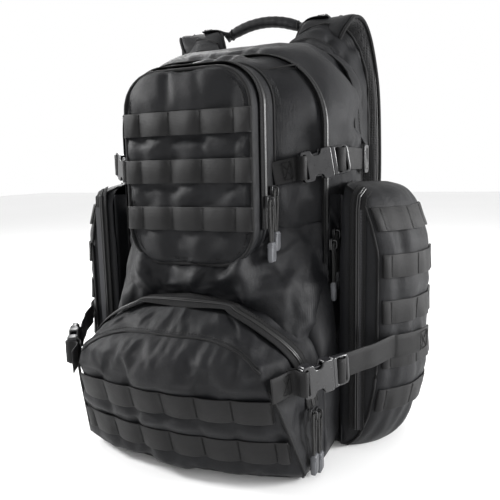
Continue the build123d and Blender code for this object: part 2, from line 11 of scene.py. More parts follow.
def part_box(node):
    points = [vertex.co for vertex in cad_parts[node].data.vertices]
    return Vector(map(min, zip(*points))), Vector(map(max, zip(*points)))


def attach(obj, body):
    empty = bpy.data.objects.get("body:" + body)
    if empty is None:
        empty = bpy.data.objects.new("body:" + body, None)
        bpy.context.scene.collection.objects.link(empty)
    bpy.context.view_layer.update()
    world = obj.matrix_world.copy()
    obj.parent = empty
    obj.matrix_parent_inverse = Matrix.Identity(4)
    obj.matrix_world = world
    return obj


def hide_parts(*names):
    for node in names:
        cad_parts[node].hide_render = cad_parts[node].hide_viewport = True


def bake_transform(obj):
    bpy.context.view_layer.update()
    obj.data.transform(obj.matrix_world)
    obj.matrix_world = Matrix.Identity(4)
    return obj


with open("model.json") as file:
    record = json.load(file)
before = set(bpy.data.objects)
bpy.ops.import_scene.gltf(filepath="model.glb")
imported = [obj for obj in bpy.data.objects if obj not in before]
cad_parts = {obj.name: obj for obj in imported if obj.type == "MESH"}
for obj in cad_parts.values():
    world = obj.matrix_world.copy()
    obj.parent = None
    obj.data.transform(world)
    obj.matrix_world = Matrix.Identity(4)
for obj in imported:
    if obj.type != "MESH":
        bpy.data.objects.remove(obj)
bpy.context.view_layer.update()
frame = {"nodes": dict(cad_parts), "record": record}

MM = 0.001
RIDES = []  # (piece, body): set once every piece is in place
CLOTHS = []  # (piece, how far each vertex may swell, how far it may sink)

WEB = 25.4  # webbing width
WEB_THICK = 1.6
ROW_PITCH = 50.8
STITCH_PITCH = 38.1
LOOP_LIFT = 1.5  # how far a loop stands off the cloth in its middle
LOOP_STEPS = 8
LOOP_PROFILE = [(-1, 0.2), (-0.96, 0.0), (0.96, 0.0), (1, 0.2), (1, 0.85)]
LOOP_PROFILE += [(0.96, 1.0), (0, 1.0), (-0.96, 1.0), (-1, 0.85)]
TACK_INSET = 1.2  # from the webbing's edge to the end of a bar tack
OUTWARD_Y = Vector((0, 1, 0))


def box_mm(node):
    low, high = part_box(node)
    return Vector(low) / MM, Vector(high) / MM


def limited(value):
    """The value, kept between 0 and 1."""
    return min(max(value, 0), 1)


def mirror_point(point):
    """The point's mirror image on the pack's other side."""
    return Vector((-point[0], point[1], point[2]))


def unit(x, y, z):
    return Vector((x, y, z)).normalized()


# Materials ----------------------------------------------------------------------------------


class Finish:
    """Node graph of one material: a base colour that varies, roughness and added bumps."""

    def __init__(self, name, colour, roughness, coords="UV", **sockets):
        self.material = bpy.data.materials.new(name)
        self.material.use_nodes = True
        self.tree = self.material.node_tree
        self.shader = self.tree.nodes["Principled BSDF"]
        self.shader.inputs["Roughness"].default_value = roughness
        self.shader.inputs["Base Color"].default_value = (*colour, 1)
        for socket, value in sockets.items():
            self.shader.inputs[socket.replace("_", " ")].default_value = value
        self.colour = colour
        self.roughness = roughness
        self.places = self.tree.nodes.new("ShaderNodeTexCoord")
        self.coords = self.places.outputs[coords]
        self.height = None

    def link(self, a, b):
        self.tree.links.new(a, b)

    def node(self, kind, **values):
        node = self.tree.nodes.new(kind)
        for key, value in values.items():
            setattr(node, key, value)
        return node

    def noise(self, size, detail=2.0, coords="Object"):
        """Soft noise whose patches are about size millimetres across."""
        node = self.node("ShaderNodeTexNoise")
        node.inputs["Scale"].default_value = 1 / (size * MM)
        node.inputs["Detail"].default_value = detail
        self.link(self.places.outputs[coords], node.inputs["Vector"])
        return node.outputs["Fac"]

    def ribs(self, pitch, direction, kind="SIN"):
        """Fine ribs of the given pitch, along one direction of the piece's own coordinates."""
        node = self.node("ShaderNodeTexWave", bands_direction=direction, wave_profile=kind)
        node.inputs["Scale"].default_value = math.pi / 10 / (pitch * MM)
        node.inputs["Distortion"].default_value = 0.0
        self.link(self.coords, node.inputs["Vector"])
        return node.outputs["Fac"]

    def math(self, operation, a, b):
        node = self.node("ShaderNodeMath", operation=operation)
        for socket, value in zip(node.inputs, (a, b)):
            if isinstance(value, (int, float)):
                socket.default_value = value
            else:
                self.link(value, socket)
        return node.outputs[0]

    def vary(self, size, dark, light, detail=3.0):
        """Colour drifts between dark and light multiples of the base colour."""
        ramp = self.node("ShaderNodeValToRGB")
        ramp.color_ramp.elements[0].position = 0.32
        ramp.color_ramp.elements[1].position = 0.68
        ramp.color_ramp.elements[0].color = (*[c * dark for c in self.colour], 1)
        ramp.color_ramp.elements[1].color = (*[c * light for c in self.colour], 1)
        self.link(self.noise(size, detail), ramp.inputs["Fac"])
        return ramp.outputs["Color"]

    def mix(self, factor, a, b):
        node = self.node("ShaderNodeMix", data_type="RGBA")
        self.link(factor, node.inputs["Factor"])
        self.link(a, node.inputs["A"])
        if isinstance(b, tuple):
            node.inputs["B"].default_value = (*b, 1)
        else:
            self.link(b, node.inputs["B"])
        return node.outputs["Result"]

    def paint(self, colour):
        self.link(colour, self.shader.inputs["Base Color"])

    def rough(self, field, spread):
        """Roughness wanders about its middle value with a field from 0 to 1."""
        shifted = self.math("MULTIPLY_ADD", field, spread)
        self.tree.nodes[-1].inputs[2].default_value = self.roughness - spread / 2
        self.link(shifted, self.shader.inputs["Roughness"])

    def raise_by(self, field, height):
        """Adds height millimetres of relief where the field is 1."""
        part = self.math("MULTIPLY", field, height)
        self.height = part if self.height is None else self.math("ADD", self.height, part)

    def done(self, strength=1.0):
        if self.height is not None:
            bump = self.node("ShaderNodeBump")
            bump.inputs["Strength"].default_value = strength
            bump.inputs["Distance"].default_value = MM
            self.link(self.height, bump.inputs["Height"])
            self.link(bump.outputs["Normal"], self.shader.inputs["Normal"])
        return self.material


def worn_and_highlighted_edges(made, base, colour, low=0.51, high=0.56):
    """Paler where an edge sticks out: partly plastic and coated cloth rubbed bright there, partly a painted
    highlight along the edge.
    """
    # Pointiness lightens ridges and edges: partly wear, partly painted highlight.
    edge = made.node("ShaderNodeNewGeometry").outputs["Pointiness"]
    ramp = made.node("ShaderNodeMapRange")
    ramp.inputs["From Min"].default_value = low
    ramp.inputs["From Max"].default_value = high
    made.link(edge, ramp.inputs["Value"])
    return made.mix(ramp.outputs["Result"], base, colour)


CLOTH_SHINE = 0.2


def woven(name, colour, pitch, roughness=0.52, sheen=0.015, relief=0.16, coords="UV"):
    """Coated nylon cloth: a plain weave, slubs, dust, slow drifts of colour, and paler edges that are partly
    wear and partly painted highlight.
    """
    made = Finish(name, colour, roughness, coords, Sheen_Weight=sheen, Sheen_Roughness=0.45)
    made.shader.inputs["Specular IOR Level"].default_value = CLOTH_SHINE
    warp = made.ribs(pitch, "X")
    weft = made.ribs(pitch, "Y" if coords == "UV" else "Z")
    slub = made.noise(2.2, 4.0)
    made.raise_by(made.math("MULTIPLY", warp, weft), relief)
    made.raise_by(slub, 0.25)
    made.raise_by(made.noise(14.0, 3.0), 0.7)
    drift = made.vary(45.0, 0.82, 1.2)
    fleck = made.node("ShaderNodeMapRange")
    fleck.inputs["From Min"].default_value = 0.55
    fleck.inputs["From Max"].default_value = 0.8
    made.link(made.noise(1.4, 5.0), fleck.inputs["Value"])
    pale = tuple(c * 2.0 for c in colour)
    # Edges and fold ridges are painted paler: partly wear, partly painted highlight.
    made.paint(worn_and_highlighted_edges(made, made.mix(fleck.outputs["Result"], drift, pale), pale, 0.53, 0.62))
    made.rough(made.noise(30.0, 3.0), 0.14)
    return made.done()


def webbing_finish(name, colour):
    """Flat nylon webbing: lengthwise columns, fine cross ribs and bright edges, partly worn and partly
    painted highlight.
    """
    made = Finish(name, colour, 0.56, "UV", Sheen_Weight=0.02, Sheen_Roughness=0.5)
    made.shader.inputs["Specular IOR Level"].default_value = CLOTH_SHINE
    made.raise_by(made.ribs(1.5, "Y"), 0.06)
    made.raise_by(made.ribs(0.8, "X"), 0.1)
    made.raise_by(made.noise(1.6, 3.0), 0.14)
    drift = made.vary(30.0, 0.8, 1.25)
    pale = tuple(c * 1.8 for c in colour)
    # Edges painted paler: partly wear, partly painted highlight.
    made.paint(worn_and_highlighted_edges(made, drift, pale, 0.52, 0.6))
    made.rough(made.noise(12.0, 3.0), 0.16)
    return made.done()


def plastic(name, colour, roughness, grain=0.05):
    """Moulded plastic: a fine spark-eroded grain, faint scuffs, and edges painted pale, partly rubbed and
    partly painted highlight.
    """
    made = Finish(name, colour, roughness, "Object")
    made.raise_by(made.noise(0.5, 2.0), grain)
    made.raise_by(made.noise(9.0, 2.0), 0.12)
    drift = made.vary(18.0, 0.85, 1.2)
    # Edges painted pale: partly rubbed wear, partly painted highlight along the moulding's edges.
    made.paint(worn_and_highlighted_edges(made, drift, tuple(c * 2.4 + 0.004 for c in colour)))
    made.rough(made.noise(5.0, 5.0), 0.2)
    return made.done()


def zip_tape_finish(name, colour):
    """Knitted zip tape: tight herringbone ribs."""
    made = Finish(name, colour, 0.7, "UV", Sheen_Weight=0.02)
    made.shader.inputs["Specular IOR Level"].default_value = CLOTH_SHINE
    made.raise_by(made.ribs(0.9, "X"), 0.14)
    made.raise_by(made.ribs(1.4, "Y"), 0.1)
    made.raise_by(made.noise(1.5, 3.0), 0.12)
    made.paint(made.vary(20.0, 0.8, 1.2))
    made.rough(made.noise(8.0, 3.0), 0.15)
    return made.done()


def mesh_finish(name, colour):
    """Spacer mesh: rows of small round holes in a knitted face, with painted shade in the holes."""
    made = Finish(name, colour, 0.85, "Object", Sheen_Weight=0.05)
    cells = made.node("ShaderNodeTexVoronoi", feature="DISTANCE_TO_EDGE")
    cells.inputs["Scale"].default_value = 1 / (3.4 * MM)
    cells.inputs["Randomness"].default_value = 0.15
    made.link(made.coords, cells.inputs["Vector"])
    hole = made.node("ShaderNodeMapRange")
    hole.inputs["From Min"].default_value = 0.12
    hole.inputs["From Max"].default_value = 0.3
    made.link(cells.outputs["Distance"], hole.inputs["Value"])
    made.raise_by(hole.outputs["Result"], -0.9)
    made.raise_by(made.noise(20.0, 3.0), 0.8)
    # The sunken holes are painted near black: painted shade in the recesses.
    made.paint(made.mix(hole.outputs["Result"], made.vary(30.0, 0.9, 1.3), (0.003, 0.003, 0.003)))
    return made.done()


def cord_finish(name, colour):
    """Braided cord: strands that cross in a diamond pattern."""
    made = Finish(name, colour, 0.65, "UV", Sheen_Weight=0.05)
    braid = made.node("ShaderNodeTexWave", bands_direction="DIAGONAL")
    braid.inputs["Scale"].default_value = 14.0
    made.link(made.coords, braid.inputs["Vector"])
    made.raise_by(braid.outputs["Fac"], 0.5)
    made.raise_by(made.noise(0.8, 2.0), 0.3)
    made.paint(made.vary(2.5, 0.7, 1.4))
    return made.done()


def metal_finish(name, colour):
    """Brushed aluminium bar."""
    made = Finish(name, colour, 0.35, "Object", Metallic=1.0)
    brushed = made.node("ShaderNodeTexNoise")
    brushed.inputs["Scale"].default_value = 900.0
    stretch = made.node("ShaderNodeMapping")
    stretch.inputs["Scale"].default_value = (1, 1, 0.02)
    made.link(made.coords, stretch.inputs["Vector"])
    made.link(stretch.outputs["Vector"], brushed.inputs["Vector"])
    made.raise_by(brushed.outputs["Fac"], 0.05)
    made.paint(made.vary(25.0, 0.85, 1.1))
    made.rough(brushed.outputs["Fac"], 0.2)
    return made.done()


FABRIC = woven("nylon_cloth", (0.0040, 0.0042, 0.0052), 0.9)
LINING = woven("nylon_lining", (0.010, 0.010, 0.0105), 0.6, 0.6, 0.03, 0.08)
STRAP_CLOTH = woven("strap_cloth", (0.0042, 0.0044, 0.0053), 0.9)
BINDING = woven("edge_binding", (0.0034, 0.0034, 0.0038), 1.2, 0.7, 0.04, 0.2)
WEBBING = webbing_finish("nylon_webbing", (0.0054, 0.0053, 0.0056))
THREAD = webbing_finish("sewing_thread", (0.0035, 0.0034, 0.0035))
TAPE = zip_tape_finish("zip_tape", (0.0036, 0.0036, 0.004))
COIL = plastic("zip_coil", (0.006, 0.006, 0.0064), 0.4, 0.02)
ACETAL = plastic("buckle_plastic", (0.0045, 0.0045, 0.0052), 0.3, 0.035)
RUBBER = plastic("tip_rubber", (0.03, 0.031, 0.034), 0.5, 0.08)
SLIDER = plastic("slider_enamel", (0.005, 0.005, 0.0055), 0.3, 0.01)
SHEET = plastic("frame_plastic", (0.02, 0.02, 0.022), 0.45, 0.08)
MESH = mesh_finish("spacer_mesh", (0.008, 0.008, 0.0088))
CORD = cord_finish("braided_cord", (0.0045, 0.0043, 0.0043))
ALUMINIUM = metal_finish("stay_aluminium", (0.62, 0.63, 0.65))

# Meshes -------------------------------------------------------------------------------------


def link_object(name, data, material, body):
    obj = bpy.data.objects.new(name, data)
    bpy.context.collection.objects.link(obj)
    if material is not None:
        data.materials.append(material)
    RIDES.append((obj, body))
    return obj


def piece(name, verts, faces, material, body, uvs=None):
    """A mesh piece from points in millimetres. uvs gives each vertex its place on the cloth."""
    data = bpy.data.meshes.new(name)
    data.from_pydata([Vector(v) * MM for v in verts], [], faces)
    data.polygons.foreach_set("use_smooth", [True] * len(data.polygons))
    if uvs:
        layer = data.uv_layers.new(name="cloth")
        for loop in data.loops:
            layer.data[loop.index].uv = (uvs[loop.vertex_index][0] * MM, uvs[loop.vertex_index][1] * MM)
    data.validate()
    return link_object(name, data, material, body)


def reversed_faces(faces):
    """The same faces, looking the other way."""
    return [face[::-1] for face in faces]


def on_side(point, side):
    """A point given for the right strap, on the right (1) or the left (-1)."""
    return Vector((side * point.x, point.y, point.z))


def subdivide(obj):
    smooth = obj.modifiers.new("smooth", "SUBSURF")
    smooth.levels = smooth.render_levels = 1


class Parts:
    """Collects many small meshes that become one piece."""

    def __init__(self):
        self.verts = []
        self.faces = []
        self.uvs = []

    def add(self, verts, faces, uvs):
        base = len(self.verts)
        self.verts += verts
        self.uvs += uvs
        self.faces += [tuple(base + i for i in face) for face in faces]

    def both(self, verts, faces, uvs, mirror=mirror_point):
        """Adds a mesh and its mirror image on the pack's other side."""
        self.add(verts, faces, uvs)
        self.add([mirror(v) for v in verts], reversed_faces(faces), uvs)

    def make(self, name, material, body):
        return piece(name, self.verts, self.faces, material, body, self.uvs)


def swept(rings, closed_ring=True, closed_path=False, caps=True):
    """Joins rings of points, given in order along a path, into a skin."""
    count = len(rings[0])
    verts = [Vector(p) for ring in rings for p in ring]
    faces = []
    spans = len(rings) if closed_path else len(rings) - 1
    around = count if closed_ring else count - 1
    for i in range(spans):
        here, there = i * count, ((i + 1) % len(rings)) * count
        for j in range(around):
            k = (j + 1) % count
            faces.append((here + j, here + k, there + k, there + j))
    if caps and closed_ring and not closed_path:
        faces.append(tuple(range(count))[::-1])
        faces.append(tuple(range((len(rings) - 1) * count, len(rings) * count)))
    uvs = []
    run = 0.0
    for i, ring in enumerate(rings):
        if i:
            run += (Vector(ring[0]) - Vector(rings[i - 1][0])).length
        across = 0.0
        for j, point in enumerate(ring):
            if j:
                across += (Vector(point) - Vector(ring[j - 1])).length
            uvs.append((run, across))
    return verts, faces, uvs


def skin(rows):
    """Open sheet through rows of points."""
    return swept(rows, False, False, False)


def tangents(points, closed=False):
    count = len(points)
    found = []
    for i in range(count):
        before = points[(i - 1) % count] if closed or i else points[0]
        after = points[(i + 1) % count] if closed or i < count - 1 else points[-1]
        found.append((Vector(after) - Vector(before)).normalized())
    return found


def tube(points, radius, sides=8, closed=False, hint=Vector((0, 0, 1))):
    """Round tube along points. radius is a number, or a function of the point's index."""
    rings = []
    for i, along in enumerate(tangents(points, closed)):
        side = along.cross(hint)
        if side.length < 0.1:
            side = along.cross(Vector((1, 0, 0)))
        side.normalize()
        up = side.cross(along)
        size = radius(i) if callable(radius) else radius
        ring = []
        for j in range(sides):
            turn = 2 * math.pi * j / sides
            ring.append(Vector(points[i]) + (side * math.cos(turn) + up * math.sin(turn)) * size)
        rings.append(ring)
    return swept(rings, True, closed)


def ribbon(points, normals, width, thick, bow=0.0, closed=False):
    """Flat webbing along points, which are on its underside; normals point out of the face."""
    rings = []
    half = width / 2
    profile = [(-half, 0.25), (-half + 0.5, 0.0), (half - 0.5, 0.0), (half, 0.25)]
    profile += [(half, 0.75), (half - 0.5, 1.0), (half * 0.5, 1.0), (0.0, 1.0 + bow)]
    profile += [(-half * 0.5, 1.0), (-half + 0.5, 1.0), (-half, 0.75)]
    for point, along, normal in zip(points, tangents(points, closed), normals):
        normal = (normal - along * normal.dot(along)).normalized()
        across = normal.cross(along)
        rings.append([Vector(point) + across * a + normal * (b * thick) for a, b in profile])
    return swept(rings, True, closed)


def smooth_route(points, steps=6):
    """Catmull-Rom curve through points, which may carry extra values such as a width."""
    ends = [points[0]] + list(points) + [points[-1]]
    route = []
    for i in range(len(points) - 1):
        quad = [Vector(p) for p in ends[i : i + 4]]
        for k in range(steps):
            t = k / steps
            route.append(
                0.5
                * (
                    2 * quad[1]
                    + (quad[2] - quad[0]) * t
                    + (2 * quad[0] - 5 * quad[1] + 4 * quad[2] - quad[3]) * t**2
                    + (3 * quad[1] - quad[0] - 3 * quad[2] + quad[3]) * t**3
                )
            )
    route.append(Vector(points[-1]))
    return route


def evenly(points, pitch, closed=False):
    """Points about pitch apart along a polyline, which may carry extra values."""
    path = [Vector(p) for p in points] + ([Vector(points[0])] if closed else [])
    lengths = [(b - a).length for a, b in zip(path, path[1:])]
    total = sum(lengths)
    count = max(int(total / pitch), 1)
    found = []
    reached, i = 0.0, 0
    for k in range(count + (0 if closed else 1)):
        want = total * k / count
        while i < len(lengths) - 1 and reached + lengths[i] < want:
            reached += lengths[i]
            i += 1
        found.append(path[i].lerp(path[i + 1], (want - reached) / max(lengths[i], 1e-9)))
    return found


def stitch_row(parts, points, normals, pitch=3.6, length=2.5, lift=0.25):
    """Row of thread stitches on a surface: short rounded dashes."""
    path = [Vector((*p, *n)) if len(p) == 3 else p for p, n in zip(points, normals)]
    places = evenly(path, pitch)
    for here, there in zip(places, places[1:]):
        start, end = Vector(here[:3]), Vector(there[:3])
        normal = Vector(here[3:]).normalized()
        step = (end - start).normalized() * length
        middle = start + step * 0.5
        line = [start - normal * 0.3, start + step * 0.15 + normal * lift, middle + normal * (lift + 0.12)]
        line += [start + step * 0.85 + normal * lift, start + step - normal * 0.3]
        parts.add(*tube(line, 0.42, 5, hint=normal))


def bar_tack(parts, start, end, normal):
    """Dense zigzag of thread that holds a webbing loop down, from start to end."""
    start, end, normal = Vector(start), Vector(end), Vector(normal).normalized()
    along = end - start
    side = along.normalized().cross(normal) * 1.1
    count = int(along.length / 0.9)
    line = []
    for i in range(count + 1):
        line.append(start + along * (i / count) + side * (1 if i % 2 else -1) + normal * 0.15)
    parts.add(*tube(line, 0.38, 4, hint=normal))


# Arched shells ------------------------------------------------------------------------------


def arch_levels(arc_steps, mid_steps):
    """Levels of an arch from its foot to its top, as (part, share) pairs."""
    levels = [("low", i / arc_steps) for i in range(arc_steps)]
    levels += [("mid", i / mid_steps) for i in range(mid_steps)]
    return levels + [("top", i / arc_steps) for i in range(arc_steps + 1)]


def arch_row(shape, level):
    """Height and half width of an arch (half, low, high, top radius, low radius) at a level."""
    half, low, high, top_radius, low_radius = shape
    part, share = level
    if part == "mid":
        return low + low_radius + (high - top_radius - low - low_radius) * share, half
    turn = math.radians(90 * share)
    if part == "low":
        return low + low_radius * (1 - math.cos(turn)), half - low_radius * (1 - math.sin(turn))
    return high - top_radius * (1 - math.sin(turn)), half - top_radius * (1 - math.cos(turn))


def grown(shape, extra):
    half, low, high, top_radius, low_radius = shape
    return (half + extra, low - extra, high + extra, top_radius + extra, low_radius + extra)


def between(a, b, share):
    return tuple(p + (q - p) * share for p, q in zip(a, b))


def follow(table, key):
    """Values at a key, between the rows of a table of (key, value, value...)."""
    for low, high in zip(table, table[1:]):
        if key <= high[0]:
            return between(low[1:], high[1:], max((key - low[0]) / (high[0] - low[0]), 0))
    return table[-1][1:]


class ArchSheet:
    """Rows and columns shared by all the outlines of one arched piece."""

    def __init__(self, arc_steps, mid_steps, columns):
        self.levels = arch_levels(arc_steps, mid_steps)
        self.shares = [-1 + 2 * i / columns for i in range(columns + 1)]

    def point(self, shape, y, row, column):
        z, half = arch_row(shape, self.levels[row])
        return Vector((half * self.shares[column], y, z))

    def loop_keys(self):
        last_row, last = len(self.levels) - 1, len(self.shares) - 1
        keys = [(0, i) for i in range(last + 1)]
        keys += [(j, last) for j in range(1, last_row + 1)]
        keys += [(last_row, i) for i in range(last - 1, -1, -1)]
        return keys + [(j, 0) for j in range(last_row - 1, 0, -1)]

    def loop(self, shape, y):
        return [self.point(shape, y, row, column) for row, column in self.loop_keys()]

    def shell(self, face, loops, crown=None, facing=-1):
        """Mesh of a closed face and the loops behind it. face and each loop are (shape, y)."""
        columns = len(self.shares)
        verts, uvs, faces = [], [], []
        if face is not None:
            shape, y = face
            for row in range(len(self.levels)):
                for column in range(columns):
                    point = self.point(shape, y, row, column)
                    if crown is not None:
                        point.y += facing * crown(point.x, point.z)
                    verts.append(point)
                    uvs.append((point.x, point.z))
            for row in range(len(self.levels) - 1):
                for column in range(columns - 1):
                    a = row * columns + column
                    b = a + columns
                    faces.append((a, a + 1, b + 1, b))
            ring = [row * columns + column for row, column in self.loop_keys()]
            first = 0
        else:
            first = 1
            shape, y = loops[0]
            ring = list(range(len(self.loop_keys())))
            verts += self.loop(shape, y)
            uvs += self.ring_uvs(verts, 0.0)
        depth = 0.0
        last_y = face[1] if face is not None else loops[0][1]
        for shape, y in loops[first:]:
            base = len(verts)
            points = self.loop(shape, y)
            depth += abs(y - last_y)
            last_y = y
            verts += points
            uvs += self.ring_uvs(points, depth)
            fresh = list(range(base, base + len(points)))
            count = len(ring)
            for i in range(count):
                k = (i + 1) % count
                faces.append((ring[i], fresh[i], fresh[k], ring[k]))
            ring = fresh
        if facing > 0:
            faces = reversed_faces(faces)
        return verts, faces, uvs

    def ring_uvs(self, points, depth):
        run, places = 0.0, []
        for i, point in enumerate(points):
            if i:
                run += (point - points[i - 1]).length
            places.append((run, depth))
        return places


def rolled_edge(shape, y, radius, facing, steps=3):
    """Loops that turn a face's edge back through a quarter circle."""
    loops = []
    for i in range(1, steps + 1):
        turn = math.radians(90 * i / steps)
        edge_y = y - facing * radius * (1 - math.cos(turn))
        loops.append((grown(shape, radius * (math.sin(turn) - 1)), edge_y))
    return loops


# Cloth --------------------------------------------------------------------------------------

CLOTH_FRAMES = 20
MOST_SIDEWAYS = 2.5  # how far a vertex may slide along its own surface

def folds(point, direction, across, run, height, seed):
    """Height of soft folds that run along a direction, across millimetres apart."""
    along = point.dot(direction)
    place = (point - direction * along) / across + direction * (along / run)
    value = noise.noise(place + Vector((seed, seed * 1.7, seed * 0.3)))
    return height * (value + 0.55 * (0.42 - min(abs(value) * 2.2, 1.0)))


def crumple(obj, amount, layers):
    """Moves a piece's vertices along their normals by amount(place) times its layers of folds."""
    moves = []
    for vertex in obj.data.vertices:
        place = vertex.co / MM
        height = sum(folds(place, Vector(way).normalized(), *rest) for way, *rest in layers)
        moves.append(vertex.normal * (amount(place) * height * MM))
    for vertex, move in zip(obj.data.vertices, moves):
        vertex.co += move
    obj.data.update()


def tucked(offset, row_gap, puff=2.2, pull=1.6):
    """Relief of cloth sewn to webbing: pulled in at the stitches and puffed out between rows."""
    near = math.exp(-((offset / 7) ** 2))
    clear = 1 - math.exp(-((max(row_gap, 0) / 9) ** 2))
    return puff * clear * (1 - 0.6 * near) - pull * near * (1 - clear)


def stitch_offset(distance, first=0.0):
    """Distance from the nearest bar tack along a row of loops."""
    return abs((distance - first + STITCH_PITCH * 50.5) % STITCH_PITCH - STITCH_PITCH / 2)


def hang_cloth(obj, held, swell, sink, pressure=3.0, spare=0.03, stiff=0.25):
    """Gives a piece cloth that is held at some vertices and has some spare length elsewhere.

    held, swell and sink are functions of a rest position: whether a vertex is sewn down, and how
    far it may move out and in.
    """
    places = [v.co / MM for v in obj.data.vertices]
    pins = [i for i, place in enumerate(places) if held(place)]
    group = obj.vertex_groups.new(name="sewn")
    group.add(pins, 1.0, "REPLACE")
    cloth = obj.modifiers.new("cloth", "CLOTH")
    settings = cloth.settings
    settings.quality = 6
    settings.mass = 0.12
    settings.tension_stiffness = 15
    settings.compression_stiffness = 15
    settings.shear_stiffness = 5
    settings.bending_stiffness = stiff
    settings.use_pressure = True
    settings.uniform_pressure_force = pressure
    settings.shrink_min = -spare
    settings.effector_weights.gravity = 0
    settings.vertex_group_mass = "sewn"
    cloth.collision_settings.use_collision = False
    cloth.point_cache.frame_end = CLOTH_FRAMES
    CLOTHS.append((obj, [swell(p) for p in places], [sink(p) for p in places]))


def settle_cloths():
    """Runs all the cloth together, then keeps each vertex within its limits."""
    scene = bpy.context.scene
    for number in range(1, CLOTH_FRAMES + 1):
        scene.frame_set(number)
    graph = bpy.context.evaluated_depsgraph_get()
    for obj, swell, sink in CLOTHS:
        moved = [v.co.copy() for v in obj.evaluated_get(graph).data.vertices]
        normals = [v.normal.copy() for v in obj.data.vertices]
        for i, vertex in enumerate(obj.data.vertices):
            step = (moved[i] - vertex.co) / MM
            out = step.dot(normals[i])
            side = step - normals[i] * out
            kept = max(-sink[i], min(out, swell[i]))
            if side.length > MOST_SIDEWAYS:
                side *= MOST_SIDEWAYS / side.length
            moved[i] = vertex.co + (normals[i] * kept + side * min(1.0, swell[i] / 3)) * MM
        for vertex, place in zip(obj.data.vertices, moved):
            vertex.co = place
    for obj, _, _ in CLOTHS:
        obj.modifiers.remove(obj.modifiers["cloth"])
        obj.data.update()
    scene.frame_set(1)


def thicken(obj, thick, levels=1):
    """Subdivides a skin and gives it the thickness of its cloth, inward."""
    if levels:
        smooth = obj.modifiers.new("smooth", "SUBSURF")
        smooth.levels = levels
        smooth.render_levels = levels
    solid = obj.modifiers.new("cloth_thickness", "SOLIDIFY")
    solid.thickness = thick * MM
    solid.offset = -1


# Upper pocket -------------------------------------------------------------------------------

PANEL_LOW_CORNER, PANEL_HIGH_CORNER = box_mm("main_panel")
FACE_LOW, FACE_HIGH = box_mm("pocket_face")
ROWS = [376.0 - ROW_PITCH * i for i in range(3)]  # webbing rows on the upper pocket
POCKET_SHAPE = (FACE_HIGH.x - 2, FACE_LOW.z, FACE_HIGH.z - 4, 42, 40)
POCKET_MOUTH = (FACE_HIGH.x, FACE_LOW.z + 1, FACE_HIGH.z, 45, 40)
POCKET_FRONT = FACE_LOW.y
POCKET_BACK = FACE_HIGH.y
GUSSET_BACK = box_mm("pocket_gusset")[1].y
POCKET_ROLL = 7  # radius of the face's rolled edge
CROWN = 3.0  # how far the middle of the upper pocket's face stands out


def pocket_crown(x, z):
    """The face is fullest a little below its middle, with soft folds and sewn tucks."""
    middle = (POCKET_SHAPE[1] + POCKET_SHAPE[2]) / 2
    full = max(0, 1 - (x / POCKET_SHAPE[0]) ** 2) * max(0, 1 - ((z - middle) / 110) ** 2)
    fade = min(full * 2.2, 1.0)
    place = Vector((x, 0, z))
    relief = folds(place, unit(0.1, 0, 1), 24, 130, 3.4, 3.0)
    relief += folds(place, unit(0.75, 0, 1), 40, 120, 3.0, 8.0)
    row_gap = row_distance(z, ROWS)
    sewn = tucked(stitch_offset(x, -STITCH_PITCH / 2), row_gap) if z > 240 else 0.0
    return CROWN * full + fade * (relief * (0.45 if row_gap < 1 else 1.0) + sewn)


def row_distance(z, rows):
    """How far a height is outside the nearest webbing row; negative inside it."""
    return min(abs(z - row) for row in rows) - WEB / 2


def row_swell(z, rows, most, slope=0.5):
    """How far cloth may swell at a height: hardly at all under a webbing row, more away from it."""
    gap = row_distance(z, rows)
    return 0.1 if gap < 1.5 else min(most, 0.4 + slope * gap)


def make_pocket_face():
    sheet = ArchSheet(7, 30, 32)
    loops = rolled_edge(POCKET_SHAPE, POCKET_FRONT, POCKET_ROLL, -1)
    for i in range(1, 5):
        share = i / 4
        wall_y = POCKET_FRONT + POCKET_ROLL + (POCKET_BACK - POCKET_FRONT - POCKET_ROLL) * share
        loops.append((between(POCKET_SHAPE, POCKET_MOUTH, share), wall_y))
    face = (grown(POCKET_SHAPE, -POCKET_ROLL), POCKET_FRONT)
    verts, faces, uvs = sheet.shell(face, loops, pocket_crown)
    obj = piece("pocket_face_cloth", verts, faces, FABRIC, "pocket_flap", uvs)

    def swell(p):
        if p.y > POCKET_FRONT + 6:
            return 1.2
        return row_swell(p.z, ROWS, 6.5, 0.6)

    def held(p):
        edge = p.y > POCKET_FRONT + 4
        tack = row_distance(p.z, ROWS) < 1 and abs((abs(p.x) + STITCH_PITCH / 2) % STITCH_PITCH) < 3.5
        return edge or tack

    hang_cloth(obj, held, swell, lambda p: 3.0 if p.y < POCKET_FRONT + 4 else 0.3, spare=0.08)
    thicken(obj, 1.8)
    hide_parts("pocket_face")
    return sheet


def make_loop_rows(name, replaced, rows, marks_of, place, body, mirror=None, tack_lift=0.35):
    """Rows of loop webbing, sewn down at the distances that marks_of gives for a row.

    place(distance, height) gives a point and its normal on the face. With a mirror, the same
    loops are made on the pack's left side too.
    """
    web, tacks = Parts(), Parts()
    for row in rows:
        marks = marks_of(row)
        rings = []
        for a, b in zip(marks, marks[1:]):
            for k in range(LOOP_STEPS):
                share = k / LOOP_STEPS
                lift = LOOP_LIFT * math.sin(math.pi * share) ** 0.55
                rings.append(loop_ring(place, a + (b - a) * share, row, lift))
        rings.append(loop_ring(place, marks[-1], row, 0.0))
        add_webbing(web, swept(rings), mirror)
        for mark in marks:
            low, normal = place(mark, row - WEB / 2 + TACK_INSET)
            high, _ = place(mark, row + WEB / 2 - TACK_INSET)
            above = normal * (WEB_THICK + tack_lift)
            tack = Parts()
            bar_tack(tack, low + above, high + above, normal)
            add_webbing(tacks, (tack.verts, tack.faces, tack.uvs), mirror)
    obj = web.make(name, WEBBING, body)
    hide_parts(replaced)
    thread = tacks.make(f"{name}_tacks", THREAD, body)


